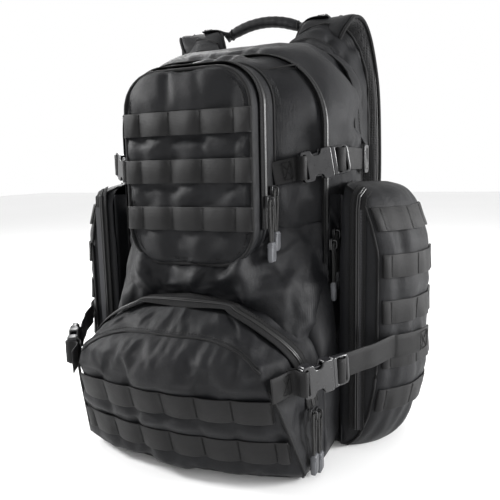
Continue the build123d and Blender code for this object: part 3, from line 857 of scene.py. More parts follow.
def add_webbing(parts, mesh, mirror):
    if mirror is None:
        parts.add(*mesh)
    else:
        parts.both(*mesh, mirror)


def sewn_marks(low, high, stitches):
    """Where a row is sewn down: at both ends, and at each stitch that is clear of them."""
    return [low, *[s for s in stitches if low < s - 6 and s + 6 < high], high]


def loop_ring(place, distance, row, lift):
    """Section of a webbing row; its lower edge hangs a little further off the cloth."""
    ring = []
    for share, depth in LOOP_PROFILE:
        point, normal = place(distance, row + share * WEB / 2)
        loose = lift * (1.0 - 0.7 * share) + 0.35
        ring.append(point + normal * (loose + depth * WEB_THICK))
    return ring


def upper_place(x, z):
    return Vector((x, POCKET_FRONT - pocket_crown(x, z), z)), Vector((0, -1, 0))


def make_upper_webbing():
    marks = sewn_marks(-77, 77, [STITCH_PITCH * (i - 1.5) for i in range(4)])
    make_loop_rows("upper_loops", "upper_webbing", ROWS, lambda row: marks, upper_place, "pocket_flap")


def arch_path(shape, y, low, steps=14):
    """Points up one side of an arch, over its top and down the other, with outward normals."""
    half, _, high, radius, _ = shape
    right = [Vector((half, y, low + (high - radius - low) * i / steps)) for i in range(steps)]
    corner, corner_normals = [], []
    for i in range(steps + 1):
        turn = math.radians(90 * i / steps)
        x, z = half - radius * (1 - math.cos(turn)), high - radius * (1 - math.sin(turn))
        corner.append(Vector((x, y, z)))
        corner_normals.append(Vector((math.cos(turn), 0, math.sin(turn))))
    side = right + corner
    normals = [Vector((1, 0, 0))] * steps + corner_normals
    left = [mirror_point(p) for p in reversed(side)]
    left_normals = [mirror_point(n) for n in reversed(normals)]
    return side + left, normals + left_normals


def make_zip(name, points, normals, bodies, tape_width, replaced=()):
    """Coil zip along a path: two tapes with stitching, and interlocked coils in the middle.

    bodies are the ones that its first and its second tape move with; the coil stays on the second.
    """
    across = [n.cross(t).normalized() for n, t in zip(normals, tangents(points))]
    half = tape_width / 2
    for side, body in zip((1, -1), bodies):
        tape, thread = Parts(), Parts()
        middle = [p + a * (side * (half / 2 + 1.2)) for p, a in zip(points, across)]
        tape.add(*ribbon(middle, normals, half - 1.6, 0.9, bow=0.4))
        for out in (half * 0.45, half * 0.92):
            line = [p + a * (side * out) + n * 0.9 for p, a, n in zip(points, across, normals)]
            stitch_row(thread, line, normals, 3.4, 2.3, 0.12)
        tag = "front" if side == 1 else "rear"
        obj = tape.make(f"{name}_{tag}_tape", TAPE, body)
        thread_obj = thread.make(f"{name}_{tag}_stitches", THREAD, body)
        if side == -1 and replaced:
            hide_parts(*replaced)
    coil = Parts()
    fine = [Vector((*p, *n, *a)) for p, n, a in zip(points, normals, across)]
    places = evenly(fine, 0.75)
    for side in (1, -1):
        line = [Vector(v[:3]) + Vector(v[6:]) * (side * 1.25) + Vector(v[3:6]) * 1.0 for v in places]
        phase = 0 if side == 1 else 1
        coil.add(*tube(line, lambda i: 1.55 if (i + phase) % 2 else 1.2, 6, hint=Vector((0.3, 0.9, 0.2))))
    obj = coil.make(f"{name}_coil", COIL, bodies[1])


def make_pocket_gusset(sheet):
    """Side wall of the upper pocket behind its zip, and the piping at its foot."""
    foot = (84, 224, 440, 46, 40)
    loops = []
    for i in range(5):
        y = POCKET_BACK + 0.4 + (GUSSET_BACK - POCKET_BACK) * i / 4
        loops.append((between(POCKET_MOUTH, foot, i / 4), y))
    verts, faces, uvs = sheet.shell(None, loops)
    obj = piece("pocket_gusset_cloth", verts, faces, FABRIC, "main_flap", uvs)
    thicken(obj, 1.8)
    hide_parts("pocket_gusset")
    trim = Parts()
    root = evenly(sheet.loop(grown(foot, 0.4), GUSSET_BACK + 0.6), 5, True)
    trim.add(*tube(root, 1.7, 8, True, OUTWARD_Y))
    edge = trim.make("pocket_root_binding", BINDING, "main_flap")


def make_pocket_trim(sheet):
    """Piping round the upper pocket's face, and stitching just inside it."""
    trim, thread = Parts(), Parts()
    ring = evenly(sheet.loop(grown(POCKET_SHAPE, -2.2), POCKET_FRONT + 1.2), 5, True)
    trim.add(*tube(ring, 1.9, 8, True, OUTWARD_Y))
    obj = trim.make("pocket_face_piping", BINDING, "pocket_flap")
    seam = evenly(sheet.loop(grown(POCKET_SHAPE, -8.5), POCKET_FRONT), 5, True)
    stitch_row(thread, seam, [Vector((0, -1, 0))] * len(seam))
    obj = thread.make("pocket_face_stitches", THREAD, "pocket_flap")


# Main panel and bag -------------------------------------------------------------------------

PANEL_FACE = (86, 210, 441, 48, 40)
PANEL_MOUTH = (PANEL_HIGH_CORNER.x, PANEL_LOW_CORNER.z, PANEL_HIGH_CORNER.z, 80, 14)
PANEL_FRONT = PANEL_LOW_CORNER.y
PANEL_BACK = PANEL_HIGH_CORNER.y


def make_main_panel():
    sheet = ArchSheet(8, 26, 26)
    steps = 9
    loops = []
    for i in range(1, steps + 1):
        share = i / steps
        shape = grown(between(PANEL_FACE, PANEL_MOUTH, share), 1.5 * math.sin(math.pi * share))
        loops.append((shape, PANEL_FRONT + (PANEL_BACK - PANEL_FRONT) * share))
    verts, faces, uvs = sheet.shell((PANEL_FACE, PANEL_FRONT), loops)
    obj = piece("main_panel_cloth", verts, faces, FABRIC, "main_flap", uvs)

    def held(p):
        return p.y > PANEL_BACK - 2 or p.y < PANEL_FRONT + 2 or p.z < 212

    def swell(p):
        return 5.0 if p.z > 230 else 1.0

    def loose(p):
        return limited((p.y - PANEL_FRONT) / 12) * limited((PANEL_BACK - p.y) / 8)

    crumple(obj, loose, [((0, 0.25, 1), 20, 70, 3.6, 5.0), ((0, 0.8, 1), 16, 50, 2.6, 9.0)])
    hang_cloth(obj, held, swell, lambda p: 2.5, spare=0.08, pressure=2.5)
    thicken(obj, 2.2)
    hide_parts("main_panel")
    trim = Parts()
    ring = evenly(sheet.loop(grown(PANEL_MOUTH, -1.5), PANEL_BACK - 3.5), 6, True)
    trim.add(*tube(ring, 1.7, 8, True, OUTWARD_Y))
    edge = trim.make("main_panel_piping", BINDING, "main_flap")
    seams = Parts()
    for side in (-1, 1):
        start, end = Vector((side * 62, PANEL_FRONT - 0.5, 428)), Vector((side * 101, PANEL_BACK - 6, 437))
        line = [start.lerp(end, i / 8) + Vector((side * 1.5, -1.5, 1.5)) for i in range(9)]
        normals = [Vector((side * 0.45, -0.65, 0.6))] * 9
        seams.add(*tube(line, 1.1, 6))
        stitch_row(seams, [p + Vector((0, 0, -4)) for p in line], normals)
    obj = seams.make("main_panel_top_seams", THREAD, "main_flap")


def panel_surface_y(x):
    """Y of the main panel's slope at a distance from the middle."""
    share = limited((abs(x) - PANEL_FACE[0]) / (PANEL_MOUTH[0] - PANEL_FACE[0]))
    return PANEL_FRONT + (PANEL_BACK - PANEL_FRONT) * share


DRAPE_LOW = [  # lower edge of the drape: distance from the middle, then Y and Z
    (0, -88, 189),
    (30, -88, 187),
    (60, -88, 180),
    (86, -86, 167),
    (106, -82, 151),
    (117, -74, 136),
    (124, -62, 126),
    (134, -18, 112),
]


def rounded(point):
    return tuple(round(c, 2) for c in point)


def make_drape():
    """Loose front cloth below the upper pocket: it falls in folds behind the lower pocket."""
    columns, rows = 84, 26
    half = PANEL_MOUTH[0] + 3
    pocket_half = POCKET_SHAPE[0]
    verts, uvs, faces = [], [], []
    for j in range(rows + 1):
        v = j / rows
        for i in range(columns + 1):
            s = -1 + 2 * i / columns
            x = half * math.sin(s * math.pi / 2 * 0.98) / math.sin(math.pi / 2 * 0.98)
            side = min(abs(x) / half, 1)
            under = max(0.0, 1 - (abs(x) / (pocket_half + 4)) ** 2)
            top_z = 262 - 37 * math.sqrt(under) if under > 0 else 262 + 10 * (side - 0.62)
            low_y, low_z = follow(DRAPE_LOW, abs(x))
            inner = limited((abs(x) - 62) / 26)
            ease = inner * inner * (3 - 2 * inner)
            top_y = (POCKET_FRONT + 5) * (1 - ease) + (panel_surface_y(x) - 1.2) * ease
            swell = 8 * math.sin(math.pi * min(v * 1.05, 1)) * (1 - side**4)
            place = Vector((x, low_y + (top_y - low_y) * v**1.4 - swell, low_z + (top_z - low_z) * v))
            flow = unit(0.55 if x > 0 else -0.55, 0, 1)
            fold = folds(place, flow, 21, 110, 7.5, 2.0)
            fold += folds(place, unit(1, 0, 0.35), 17, 70, 4.0, 6.0)
            place.y += (fold - 2.0) * math.sin(math.pi * v) ** 0.6 * (1 - side**8)
            pull_gap = math.hypot((place.x - 89) / 22, (place.z - 216) / 34)
            place.y += 12 * max(0.0, 1 - pull_gap) * math.sin(math.pi * v)
            verts.append(place)
            uvs.append((x, place.z))
    for j in range(rows):
        for i in range(columns):
            a = j * (columns + 1) + i
            b = a + columns + 1
            faces.append((a, a + 1, b + 1, b))
    obj = piece("front_drape", verts, faces, FABRIC, None, uvs)
    wide = columns + 1
    last = (rows + 1) * wide
    rim = [i for i in range(last) if i < wide or i >= last - wide or i % wide in (0, columns)]
    rim_places = {rounded(verts[i]) for i in rim}

    def held(p):
        return rounded(p) in rim_places

    hang_cloth(obj, held, lambda p: 5.5, lambda p: 4.5, spare=0.09, pressure=1.5)
    thicken(obj, 1.6)
    return obj


def bag_shape(y):
    """The bag's outline at a depth: it grows from the zip to the wearer's back."""
    front, middle, rear = (131, 0, 452, 80, 20), (145, 0, 468, 85, 22), (146, 0, 480, 70, 22)
    if y < 35:
        share = (y + 12) / 47
        return between(front, middle, share)
    return between(middle, rear, (y - 35) / 73)


def make_bag():
    sheet = ArchSheet(9, 40, 30)
    back = box_mm("bag")[1].y
    loops = rolled_edge(bag_shape(back), back, 6, 1)
    for i in range(1, 18):
        y = back - 6 - (back - 6 + 12) * i / 17
        loops.append((bag_shape(y), y))
    verts, faces, uvs = sheet.shell((grown(bag_shape(back), -6), back), loops, None, 1)
    obj = piece("bag_cloth", verts, faces, FABRIC, "pack", uvs)

    def held(p):
        return p.y < -10 or p.y > back - 8 or p.z < 3

    def swell(p):
        return 7.0 if p.z > 352 else 2.2

    def loose(p):
        upright = min(p.z / 60, 1) * (0.35 if p.z > 440 else 1.0)
        return limited((p.y + 10) / 10) * limited((back - 8 - p.y) / 14) * upright

    crumple(obj, loose, [((0, -0.2, 1), 24, 120, 5.5, 12.0), ((0, 0.7, 1), 22, 60, 3.2, 4.0)])
    hang_cloth(obj, held, swell, lambda p: 4.0 if p.y < back - 3 else 0.5, spare=0.08, pressure=2.5)
    thicken(obj, 2.4)
    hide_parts("bag")
    trim = Parts()
    edge_line = evenly(sheet.loop(grown(bag_shape(back), -1.0), back - 1.8), 6, True)
    edge_line = [Vector((p.x, p.y, max(p.z, 2.0))) for p in edge_line]
    trim.add(*tube(edge_line, 1.9, 8, True, OUTWARD_Y))
    edge = trim.make("bag_back_piping", BINDING, "pack")
    base = Parts()
    for x in (-60, 60):
        line = [Vector((x, y, 2.6)) for y in range(-50, 100, 10)]
        base.add(*ribbon(line, [Vector((0, 0, -1))] * len(line), WEB, 1.4))
    strip = base.make("base_webbing", WEBBING, "pack")


BLOCK_BACK = -8
BLOCK_LEVELS = [  # height, then half widths in front and at the rear, and Y of the front
    (0, 134, 138, -60),
    (4, 137, 140, -60),
    (20, 143, 145, -60),
    (100, 140, 144, -60),
    (140, 127, 141, -58),
    (170, 108, 137, -52),
    (200, 88, 132, -44),
]


def make_block():
    """Sides and top of the bag's deeper lower half, behind the lower pocket."""
    heights = [1.3, 2.5, 5, 10, 20] + [20 + 180 * i / 26 for i in range(1, 27)]
    rings = []
    for z in heights:
        front, rear, face = follow(BLOCK_LEVELS, z)
        side = []
        for k in range(11):
            turn = math.radians(90 * k / 10)
            x = front + (rear - front) * math.cos(turn) ** 0.7
            side.append(Vector((x, BLOCK_BACK + (face - BLOCK_BACK) * math.sin(turn) ** 0.9, z)))
        across = [Vector((front * (1 - k / 12), face, z)) for k in range(1, 24)]
        mirror = [mirror_point(p) for p in reversed(side)]
        rings.append(side + across + mirror)
    for inset in (3, 12, 40, 90):
        rings.append([Vector((p.x * (1 - inset / 150), p.y, 200.2)) for p in rings[len(heights) - 1]])
    verts, faces, uvs = skin(rings)
    obj = piece("bag_block_cloth", verts, faces, FABRIC, "pack", uvs)

    def held(p):
        return p.z < 3 or p.z > 196 or p.y > -10 or (p.y < -58)

    def loose(p):
        return min(p.z / 30, 1) * limited((200 - p.z) / 20) * limited((-9 - p.y) / 8)

    crumple(obj, loose, [((0, 0.15, 1), 20, 110, 5.0, 21.0), ((0, 0.9, 1), 24, 60, 2.5, 14.0)])
    hang_cloth(obj, held, lambda p: 2.5, lambda p: 3.5, spare=0.08, pressure=1.5)
    thicken(obj, 2.0)


def make_side_gussets():
    """Soft cloth that closes the gap between the bag and a side pocket, behind the main zip."""
    gusset = Parts()
    rows = []
    for i in range(51):
        z = 4 + 292 * i / 50
        over = limited((z - 150) / 50)
        start = Vector((142.5 - 9.0 * over, -16 + 9 * over, z))
        end = Vector((151.5, -22, z))
        pulls = limited((z - 134) / 20) * limited((282 - z) / 20)
        row = []
        for k in range(9):
            share = k / 8
            point = start.lerp(end, share)
            point.y += (4 + 15 * pulls) * math.sin(math.pi * share) ** 0.8
            point.y += folds(point, unit(0.3, 0, 1), 14, 40, 2.5, 8.0) * math.sin(math.pi * share)
            row.append(point)
        rows.append(row)
    gusset.both(*skin(rows))
    obj = gusset.make("side_gusset_cloth", FABRIC, "pack")
    thicken(obj, 1.5)


# Lower pocket -------------------------------------------------------------------------------

LEAN_ANGLE = math.radians(17)  # how far the face leans forward as it rises
LEAN = math.tan(LEAN_ANGLE)
LOWER_SIZES = [  # height, then half widths at the rear and across the face, and how far it leans out
    (0, 136, 129, -19),
    (14, 142, 137, 0),
    (43, 142, 131, 29 * LEAN),
    (92, 141, 121, 78 * LEAN),
    (118, 137, 114, 104 * LEAN),
    (138, 129, 107, 29),
    (154, 116, 92, 14),
    (168, 98, 74, -6),
    (178, 78, 56, -24),
    (185, 54, 38, -40),
    (190, 28, 18, -54),
]
LOWER_RADIUS = 371.0
LOWER_MIDDLE = -140.0
LOWER_BACK = -60.4


def lower_size(z):
    return follow(LOWER_SIZES, z)


def lower_relief(x, z):
    """Puffs, tucks and puckers on the lower pocket's face."""
    place = Vector((x, 0, z))
    fade = min(z / 12, 1) * max(0.0, 1 - (x / 132) ** 4)
    relief = folds(place, unit(0.3, 0, 1), 26, 60, 2.6, 5.0)
    if z > 112:
        relief = folds(place, unit(0.25, 0, 1), 15, 45, 1.6, 5.0)
        relief += folds(place, unit(1, 0, 0.1), 26, 90, 2.4, 2.0)
        return fade * relief * min((z - 112) / 10, 1) * limited((174 - z) / 12)
    row_gap = row_distance(z, LOWER_ROWS)
    return fade * (relief * (0.4 if row_gap < 1 else 1.0) + tucked(stitch_offset(x), row_gap))


def crowned_y(x, out):
    """Y of the lower pocket's crowned face at a distance across it."""
    return LOWER_MIDDLE - out + LOWER_RADIUS - math.sqrt(LOWER_RADIUS**2 - x * x)


def lower_side(z, share):
    """Point on the right side wall, from its rear edge at share 0 to the face's corner at 1."""
    rear_half, face_half, out = lower_size(z)
    corner_y = crowned_y(face_half, out)
    x = rear_half + (face_half - rear_half) * share
    return Vector((x, LOWER_BACK + (corner_y - LOWER_BACK) * share, z))


def lower_ring(z):
    """The lower pocket's plan at a height, from its right rear edge round to its left one."""
    _, face_half, out = lower_size(z)
    side = [lower_side(z, k / 14) for k in range(14)]
    face = []
    for k in range(71):
        x = face_half * (1 - 2 * k / 70)
        face.append(Vector((x, crowned_y(x, out) - lower_relief(x, z), z)))
    ring = side + face + [mirror_point(p) for p in reversed(side)]
    inner = [ring[i - 1] * 0.25 + ring[i] * 0.5 + ring[i + 1] * 0.25 for i in range(1, len(ring) - 1)]
    return [ring[0], *inner, ring[-1]]


LOWER_ROWS = [92.0, 92.0 - ROW_PITCH * math.cos(LEAN_ANGLE)]


def lower_place(x, z):
    """Point and normal on the leaning face of the lower pocket, at a distance across it."""
    out = (z - 14) * LEAN
    turn = x / LOWER_RADIUS
    across = LOWER_RADIUS * math.sin(turn)
    point = Vector((across, crowned_y(across, out) - lower_relief(across, z), z))
    normal = Vector((math.sin(turn), -math.cos(turn), -math.sin(LEAN_ANGLE))).normalized()
    return point, normal


def face_top(x):
    """Height of the seam along the top of the lower pocket's face."""
    return 158 - 2.0e-7 * x**4


def make_lower_pocket():
    heights = [0, 3, 8, 14] + [14 + 104 * i / 26 for i in range(1, 27)]
    heights += [118 + 72 * i / 24 for i in range(1, 25)]
    rings = [lower_ring(z) for z in heights]
    verts, faces, uvs = skin(rings)
    faces = reversed_faces(faces)
    obj = piece("lower_pocket_cloth", verts, faces, FABRIC, "pack", uvs)

    zip_points = lower_zip_path()[0]

    def on_face(p):
        return abs(p.x) < lower_size(p.z)[1] - 3

    def at_zip(p):
        return any((p - point).length < 11 for point in zip_points)

    def held(p):
        corner = abs(abs(p.x) - lower_size(p.z)[1]) < 2.5 and p.z < 128
        seam = on_face(p) and abs(p.z - face_top(p.x)) < 2.6 and p.y < -110
        in_row = on_face(p) and p.z < 108 and row_distance(p.z, LOWER_ROWS) < 1
        tack = in_row and abs((p.x + 500 * STITCH_PITCH) % STITCH_PITCH) < 3
        edge = p.z < 1 or p.z > 188 or p.y > LOWER_BACK - 2
        return edge or corner or seam or tack or at_zip(p)

    def swell(p):
        if on_face(p) and p.z < 110:
            return row_swell(p.z, LOWER_ROWS, 6.0)
        return 5.0 if p.z > 100 and on_face(p) else 3.0

    def loose(p):
        return 0.0 if on_face(p) or at_zip(p) else min(p.z / 20, 1) * limited((-63 - p.y) / 8)

    crumple(obj, loose, [((0, 0.3, 1), 22, 90, 3.5, 31.0)])
    hang_cloth(obj, held, swell, lambda p: 3.0, spare=0.08, pressure=3.0)
    thicken(obj, 2.0)
    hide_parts("lower_pocket")
    trim, thread = Parts(), Parts()
    corner_line = []
    for z in range(2, 120, 6):
        _, face_half, out = lower_size(z)
        corner_line.append(Vector((face_half - 0.4, crowned_y(face_half, out) + 0.6, z)))
    trim.both(*tube(corner_line, 1.5, 6))
    top_line = []
    for k in range(-19, 20):
        x = 106 * k / 19
        z = face_top(x)
        top_line.append(Vector((x, crowned_y(x, lower_size(z)[2]) - lower_relief(x, z) - 0.2, z)))
    trim.add(*tube(top_line, 1.4, 6))
    seam_line = [p + Vector((0, 1.2, 4)) for p in top_line]
    stitch_row(thread, seam_line, [Vector((0, -0.8, 0.6))] * len(seam_line))
    edge = trim.make("lower_face_piping", BINDING, "pack")
    seam = thread.make("lower_face_stitches", THREAD, "pack")


def make_lower_webbing():
    stitches = [STITCH_PITCH * (i - 3) for i in range(7)]

    def marks(row):
        reach = lower_size(row + 12)[1] - 1
        return sewn_marks(-reach, reach, stitches)

    make_loop_rows("lower_loops", "lower_webbing", LOWER_ROWS, marks, lower_place, "pack")


def lower_zip_path():
    """The lower pocket's zip: up the right side wall, over the pocket's top, down the left."""
    course = [(78, 0.33), (100, 0.34), (118, 0.37), (134, 0.43), (147, 0.52)]
    course += [(158, 0.63), (168, 0.76), (176, 0.9), (181, 1.0)]
    right, normals = [], []
    for z, share in course:
        along = lower_side(z, share + 0.04) - lower_side(z, share - 0.04)
        rising = lower_side(z + 3, share) - lower_side(z - 3, share)
        normals.append(rising.cross(along).normalized())
        lift = 1.4 + 1.8 * limited((z - 118) / 20)
        right.append(lower_side(z, share) + normals[-1] * lift)
    right.append(Vector((0, crowned_y(0, lower_size(183)[2]) - 2.5, 186)))
    normals.append(Vector((0, -0.5, 0.87)))
    half = smooth_route([(*p, *n) for p, n in zip(right, normals)], 5)
    full = half + [Vector((-v[0], v[1], v[2], -v[3], v[4], v[5])) for v in reversed(half[:-1])]
    return [Vector(v[:3]) for v in full], [Vector(v[3:]).normalized() for v in full]


# Side pockets -------------------------------------------------------------------------------

SIDE_ROWS = [270.0 - ROW_PITCH * i for i in range(5)]
SIDE_INNER = 150.6  # X of the wall against the bag
SIDE_MIDDLE_Y, SIDE_HALF_DEPTH = 40, 64
SIDE_FRONT = [(SIDE_INNER, -25), (165, -26.2), (180, -27.4), (188, -28)]
SIDE_HEIGHTS = [  # height, then how far in the outer face is and how much shallower the pocket is
    (0, 38, 14),
    (8, 29, 9),
    (22, 19, 4),
    (48, 9, 1),
    (78, 3, 0),
    (104, 0, 0),
    (232, 0, 0),
    (262, 7, 0),
    (285, 15, 0),
    (297, 24, 6),
    (304, 34, 14),
    (308, 50, 26),
]


def circle_through(a, b, c, count):
    """Points along the arc through three plan points."""
    ax, ay, bx, by, cx, cy = *a, *b, *c
    d = 2 * (ax * (by - cy) + bx * (cy - ay) + cx * (ay - by))
    ux = ((ax**2 + ay**2) * (by - cy) + (bx**2 + by**2) * (cy - ay) + (cx**2 + cy**2) * (ay - by)) / d
    uy = ((ax**2 + ay**2) * (cx - bx) + (bx**2 + by**2) * (ax - cx) + (cx**2 + cy**2) * (bx - ax)) / d
    radius = math.hypot(ax - ux, ay - uy)
    start, end = math.atan2(ay - uy, ax - ux), math.atan2(cy - uy, cx - ux)
    turns = [start + (end - start) * i / count for i in range(count + 1)]
    return [(ux + radius * math.cos(turn), uy + radius * math.sin(turn)) for turn in turns]


SIDE_BEND = circle_through((194, -28), (225, 3), (237, 46), 40)
SIDE_FACE = SIDE_BEND + [(237 - 3 * i / 20, 46 + 39 * i / 20) for i in range(1, 21)]


def side_face_point(distance):
    """Plan point and normal at a distance along a side pocket's face from its front corner."""
    reached = 0.0
    for a, b in zip(SIDE_FACE, SIDE_FACE[1:]):
        length = math.hypot(b[0] - a[0], b[1] - a[1])
        if reached + length >= distance or b == SIDE_FACE[-1]:
            share = (distance - reached) / length
            along = Vector((b[0] - a[0], b[1] - a[1], 0)) / length
            point = Vector((a[0] + along.x * length * share, a[1] + along.y * length * share, 0))
            return point, Vector((along.y, -along.x, 0))
        reached += length


def side_inward(z):
    return follow(SIDE_HEIGHTS, z)


def side_relief(distance, z):
    """Puffs between the webbing rows, tucks at their stitches and upright folds."""
    fade = limited(distance / 14) * limited((128 - distance) / 14) * min(z / 16, 1)
    place = Vector((distance, 0, z))
    relief = folds(place, unit(0.12, 0, 1), 19, 60, 3.6, 17.0)
    row_gap = row_distance(z, SIDE_ROWS)
    sewn = tucked(stitch_offset(distance, 14.0 - STITCH_PITCH / 2), row_gap, 2.0, 1.4)
    return fade * (relief * (0.4 if row_gap < 1 else 1.0) + sewn)


def side_place(distance, z):
    point, normal = side_face_point(distance)
    point = point + normal * side_relief(distance, z)
    return Vector((point.x - side_inward(z)[0], point.y, z)), normal


def slimmer(point):
    """Mirror image on the left side, where the side pocket is less full."""
    wide = max(point[0] - SIDE_INNER, 0)
    return Vector((-(point[0] - 0.12 * wide), point[1] + 0.06 * wide, point[2]))


def make_side_pocket(side, name):
    rear = [(231, 89), (225, 94), (217, 99), (209, 103), (196, 103), (180, 103), (165, 103)]
    rear.append((SIDE_INNER, 103))
    heights = [0, 4, 9, 18, 28, 40] + [40 + 192 * i / 40 for i in range(1, 41)]
    heights += [232 + 53 * i / 11 for i in range(1, 12)]
    heights += [291, 297, 301, 304, 306.5, 308]
    rings = []
    for z in heights:
        inward, shrink = side_inward(z)
        keep = 1 - shrink / SIDE_HALF_DEPTH
        plan = list(SIDE_FRONT)
        for i in range(39):
            distance = 3 + 125 * i / 38
            point, normal = side_face_point(distance)
            plan.append((point + normal * side_relief(distance, z)).xy)
        ring = []
        for x, y in plan + rear:
            share = min((x - SIDE_INNER) / 30, 1)
            slider_room = 2.2 * limited((z - 235) / 15)
            x = max(x - inward * share, SIDE_INNER + slider_room)
            ring.append(Vector((x, SIDE_MIDDLE_Y + (y - SIDE_MIDDLE_Y) * keep, z)))
        rings.append(ring if side > 0 else [slimmer(p) for p in ring])
    for share in (0.85, 0.5, 0.0):
        top = rings[len(heights) - 1]
        rings.append([Vector((p.x, SIDE_MIDDLE_Y + (p.y - SIDE_MIDDLE_Y) * share, 308.2)) for p in top])
    verts, faces, uvs = skin(rings)
    if side < 0:
        faces = reversed_faces(faces)
    obj = piece(f"{name}_cloth", verts, faces, FABRIC, "pack", uvs)

    def on_face(p):
        return abs(p.x) > 196 and p.y < 86

    def held(p):
        corner = abs(p.y + 26) < 4.0 and 183 < abs(p.x) < 197
        tack = on_face(p) and row_distance(p.z, SIDE_ROWS) < 0.5 and abs(p.y - 20) % 33 < 3
        return abs(p.x) < 152 or p.z < 2 or corner or tack

    def swell(p):
        if on_face(p) and p.z < 290:
            return row_swell(p.z, SIDE_ROWS, 5.0)
        return 3.0 if abs(p.x) > 170 else 1.0

    hang_cloth(obj, held, swell, lambda p: 3.5, spare=0.08, pressure=3.0)
    thicken(obj, 2.0)
    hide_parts(name)
    trim = Parts()
    line = []
    for z in list(range(2, 290, 9)) + [294, 300, 305]:
        inward, shrink = side_inward(z)
        line.append(Vector((193 - inward, SIDE_MIDDLE_Y - 68.6 * (1 - shrink / SIDE_HALF_DEPTH), z)))
    top = line[-1]
    line += [Vector((top.x, top.y + 18 * i, 307.5 - 0.2 * i)) for i in range(1, 5)]
    trim.add(*tube(line if side > 0 else [slimmer(p) for p in line], 1.6, 6))
    edge = trim.make(f"{name}_piping", BINDING, "pack")
    zip_line = [Vector((171, -28.6, 30 + 9 * i)) for i in range(29)]
    zip_line += [Vector((172 + 2 * i, -27 + 5 * i, 295 + 4 * i)) for i in range(3)]
    if side < 0:
        zip_line = [slimmer(p) for p in zip_line]
    make_zip(f"{name}_zip", zip_line, [Vector((0, -1, 0.03))] * len(zip_line), ("pack", "pack"), 17)


def make_side_webbing():
    marks = [4, *[14 + STITCH_PITCH * i for i in range(3)], 122]
    make_loop_rows(
        "side_loops", "side_webbing", SIDE_ROWS, lambda row: marks, side_place, "pack", slimmer, 0.5
    )


# Buckles and straps -------------------------------------------------------------------------


class Place:
    """A frame in space: x runs along a strap, y across it and z out of it."""

    def __init__(self, origin, along, outward, scale=1.0):
        self.origin = Vector(origin)
        self.x = Vector(along).normalized()
        self.z = Vector(outward).normalized()
        self.y = self.z.cross(self.x)
        self.scale = scale

    def at(self, x, y, z):
        return self.origin + (self.x * x + self.y * y + self.z * z) * self.scale


def strap_line(start, end):
    along = (Vector(end) - Vector(start)).normalized()
    return Place(start, along, (along.y, -along.x, 0))


UPPER_STRAP = strap_line((92, -57.5, 321), (153.6, -6.3, 336))
LOWER_STRAP = strap_line((123, -155, 118), (211, -35, 130))
UPPER_BUCKLE, LOWER_BUCKLE = 25.0, 28.0
SOCKET_LENGTH = 37.0
SIDE_BUCKLES = (  # level, its strap's line, where the socket starts, and the socket's body
    ("upper", UPPER_STRAP, UPPER_BUCKLE, "main_flap"),
    ("lower", LOWER_STRAP, LOWER_BUCKLE, "pack"),
)


def plug_face(start):
    """Where a plug's shoulder meets its socket's mouth."""
    return start + SOCKET_LENGTH + 0.4


def plate(parts, place, outline, holes, thick, height, offset=0.0, bevel=0.7, mirror=False):
    """Moulded plate with rounded edges and holes, drawn in a place's x and y."""
    curve = bpy.data.curves.new("plate", "CURVE")
    curve.dimensions = "2D"
    curve.fill_mode = "BOTH"
    curve.extrude = thick / 2 - bevel
    curve.bevel_depth = bevel
    curve.bevel_resolution = 2
    curve.offset = -bevel
    for ring in [outline, *holes]:
        spline = curve.splines.new("POLY")
        spline.points.add(len(ring) - 1)
        for point, (x, y) in zip(spline.points, ring):
            point.co = (x, y, 0, 1)
        spline.use_cyclic_u = True
    holder = bpy.data.objects.new("plate", curve)
    data = bpy.data.meshes.new_from_object(holder)
    verts = [place.at(v.co.x + offset, v.co.y, v.co.z + height) for v in data.vertices]
    faces = [tuple(p.vertices) for p in data.polygons]
    uvs = [(v.co.x, v.co.y) for v in data.vertices]
    if mirror:
        parts.both(verts, faces, uvs)
    else:
        parts.add(verts, faces, uvs)
    bpy.data.objects.remove(holder)
    bpy.data.meshes.remove(data)


def box_ring(x0, x1, y0, y1, corner=0.8):
    """Rectangle with its corners cut."""
    c = corner
    right = [(x1 - c, y0), (x1, y0 + c), (x1, y1 - c), (x1 - c, y1)]
    return [(x0 + c, y0), *right, (x0 + c, y1), (x0, y1 - c), (x0, y0 + c)]


def mirrored_ring(upper):
    """Closed outline from its upper half, which runs in x; the lower half is its mirror image."""
    return upper + [(x, -y) for x, y in reversed(upper)]


def sharp(obj, angle=32):
    obj.data.set_sharp_from_angle(angle=math.radians(angle))
    return obj


def socket_parts(parts, place, start, mirror):
    """Side-release socket: two waisted cheeks, rails between them and a slotted strap bar."""
    cheek = [(0.6, 13.6), (1.6, 15.6), (3.4, 16.5), (10.6, 16.5), (12.8, 15.8), (14.4, 11.8)]
    cheek += [(16.2, 10.4), (21.6, 10.4)]
    cheek += [(23.6, 11.8), (25.2, 15.8), (27, 16.5), (35.2, 16.5), (36.6, 15.6), (37, 14.0)]
    slot = box_ring(3.2, 6.6, -13.2, 13.2, 1.0)
    for height in (4.35, -4.35):
        plate(parts, place, mirrored_ring(cheek), [slot], 2.3, height, start, 0.9, mirror)
    for y in (13.3, -16.3):
        plate(parts, place, box_ring(1.6, 12.2, y, y + 3.0), [], 8.4, 0, start, 0.5, mirror)
        plate(parts, place, box_ring(26.0, 36.2, y, y + 3.0), [], 8.4, 0, start, 0.5, mirror)
    plate(parts, place, box_ring(0.7, 3.4, -14, 14), [], 8.6, 0, start, 1.0, mirror)
    plate(parts, place, box_ring(6.4, 9.2, -14, 14), [], 8.4, 0, start, 0.6, mirror)


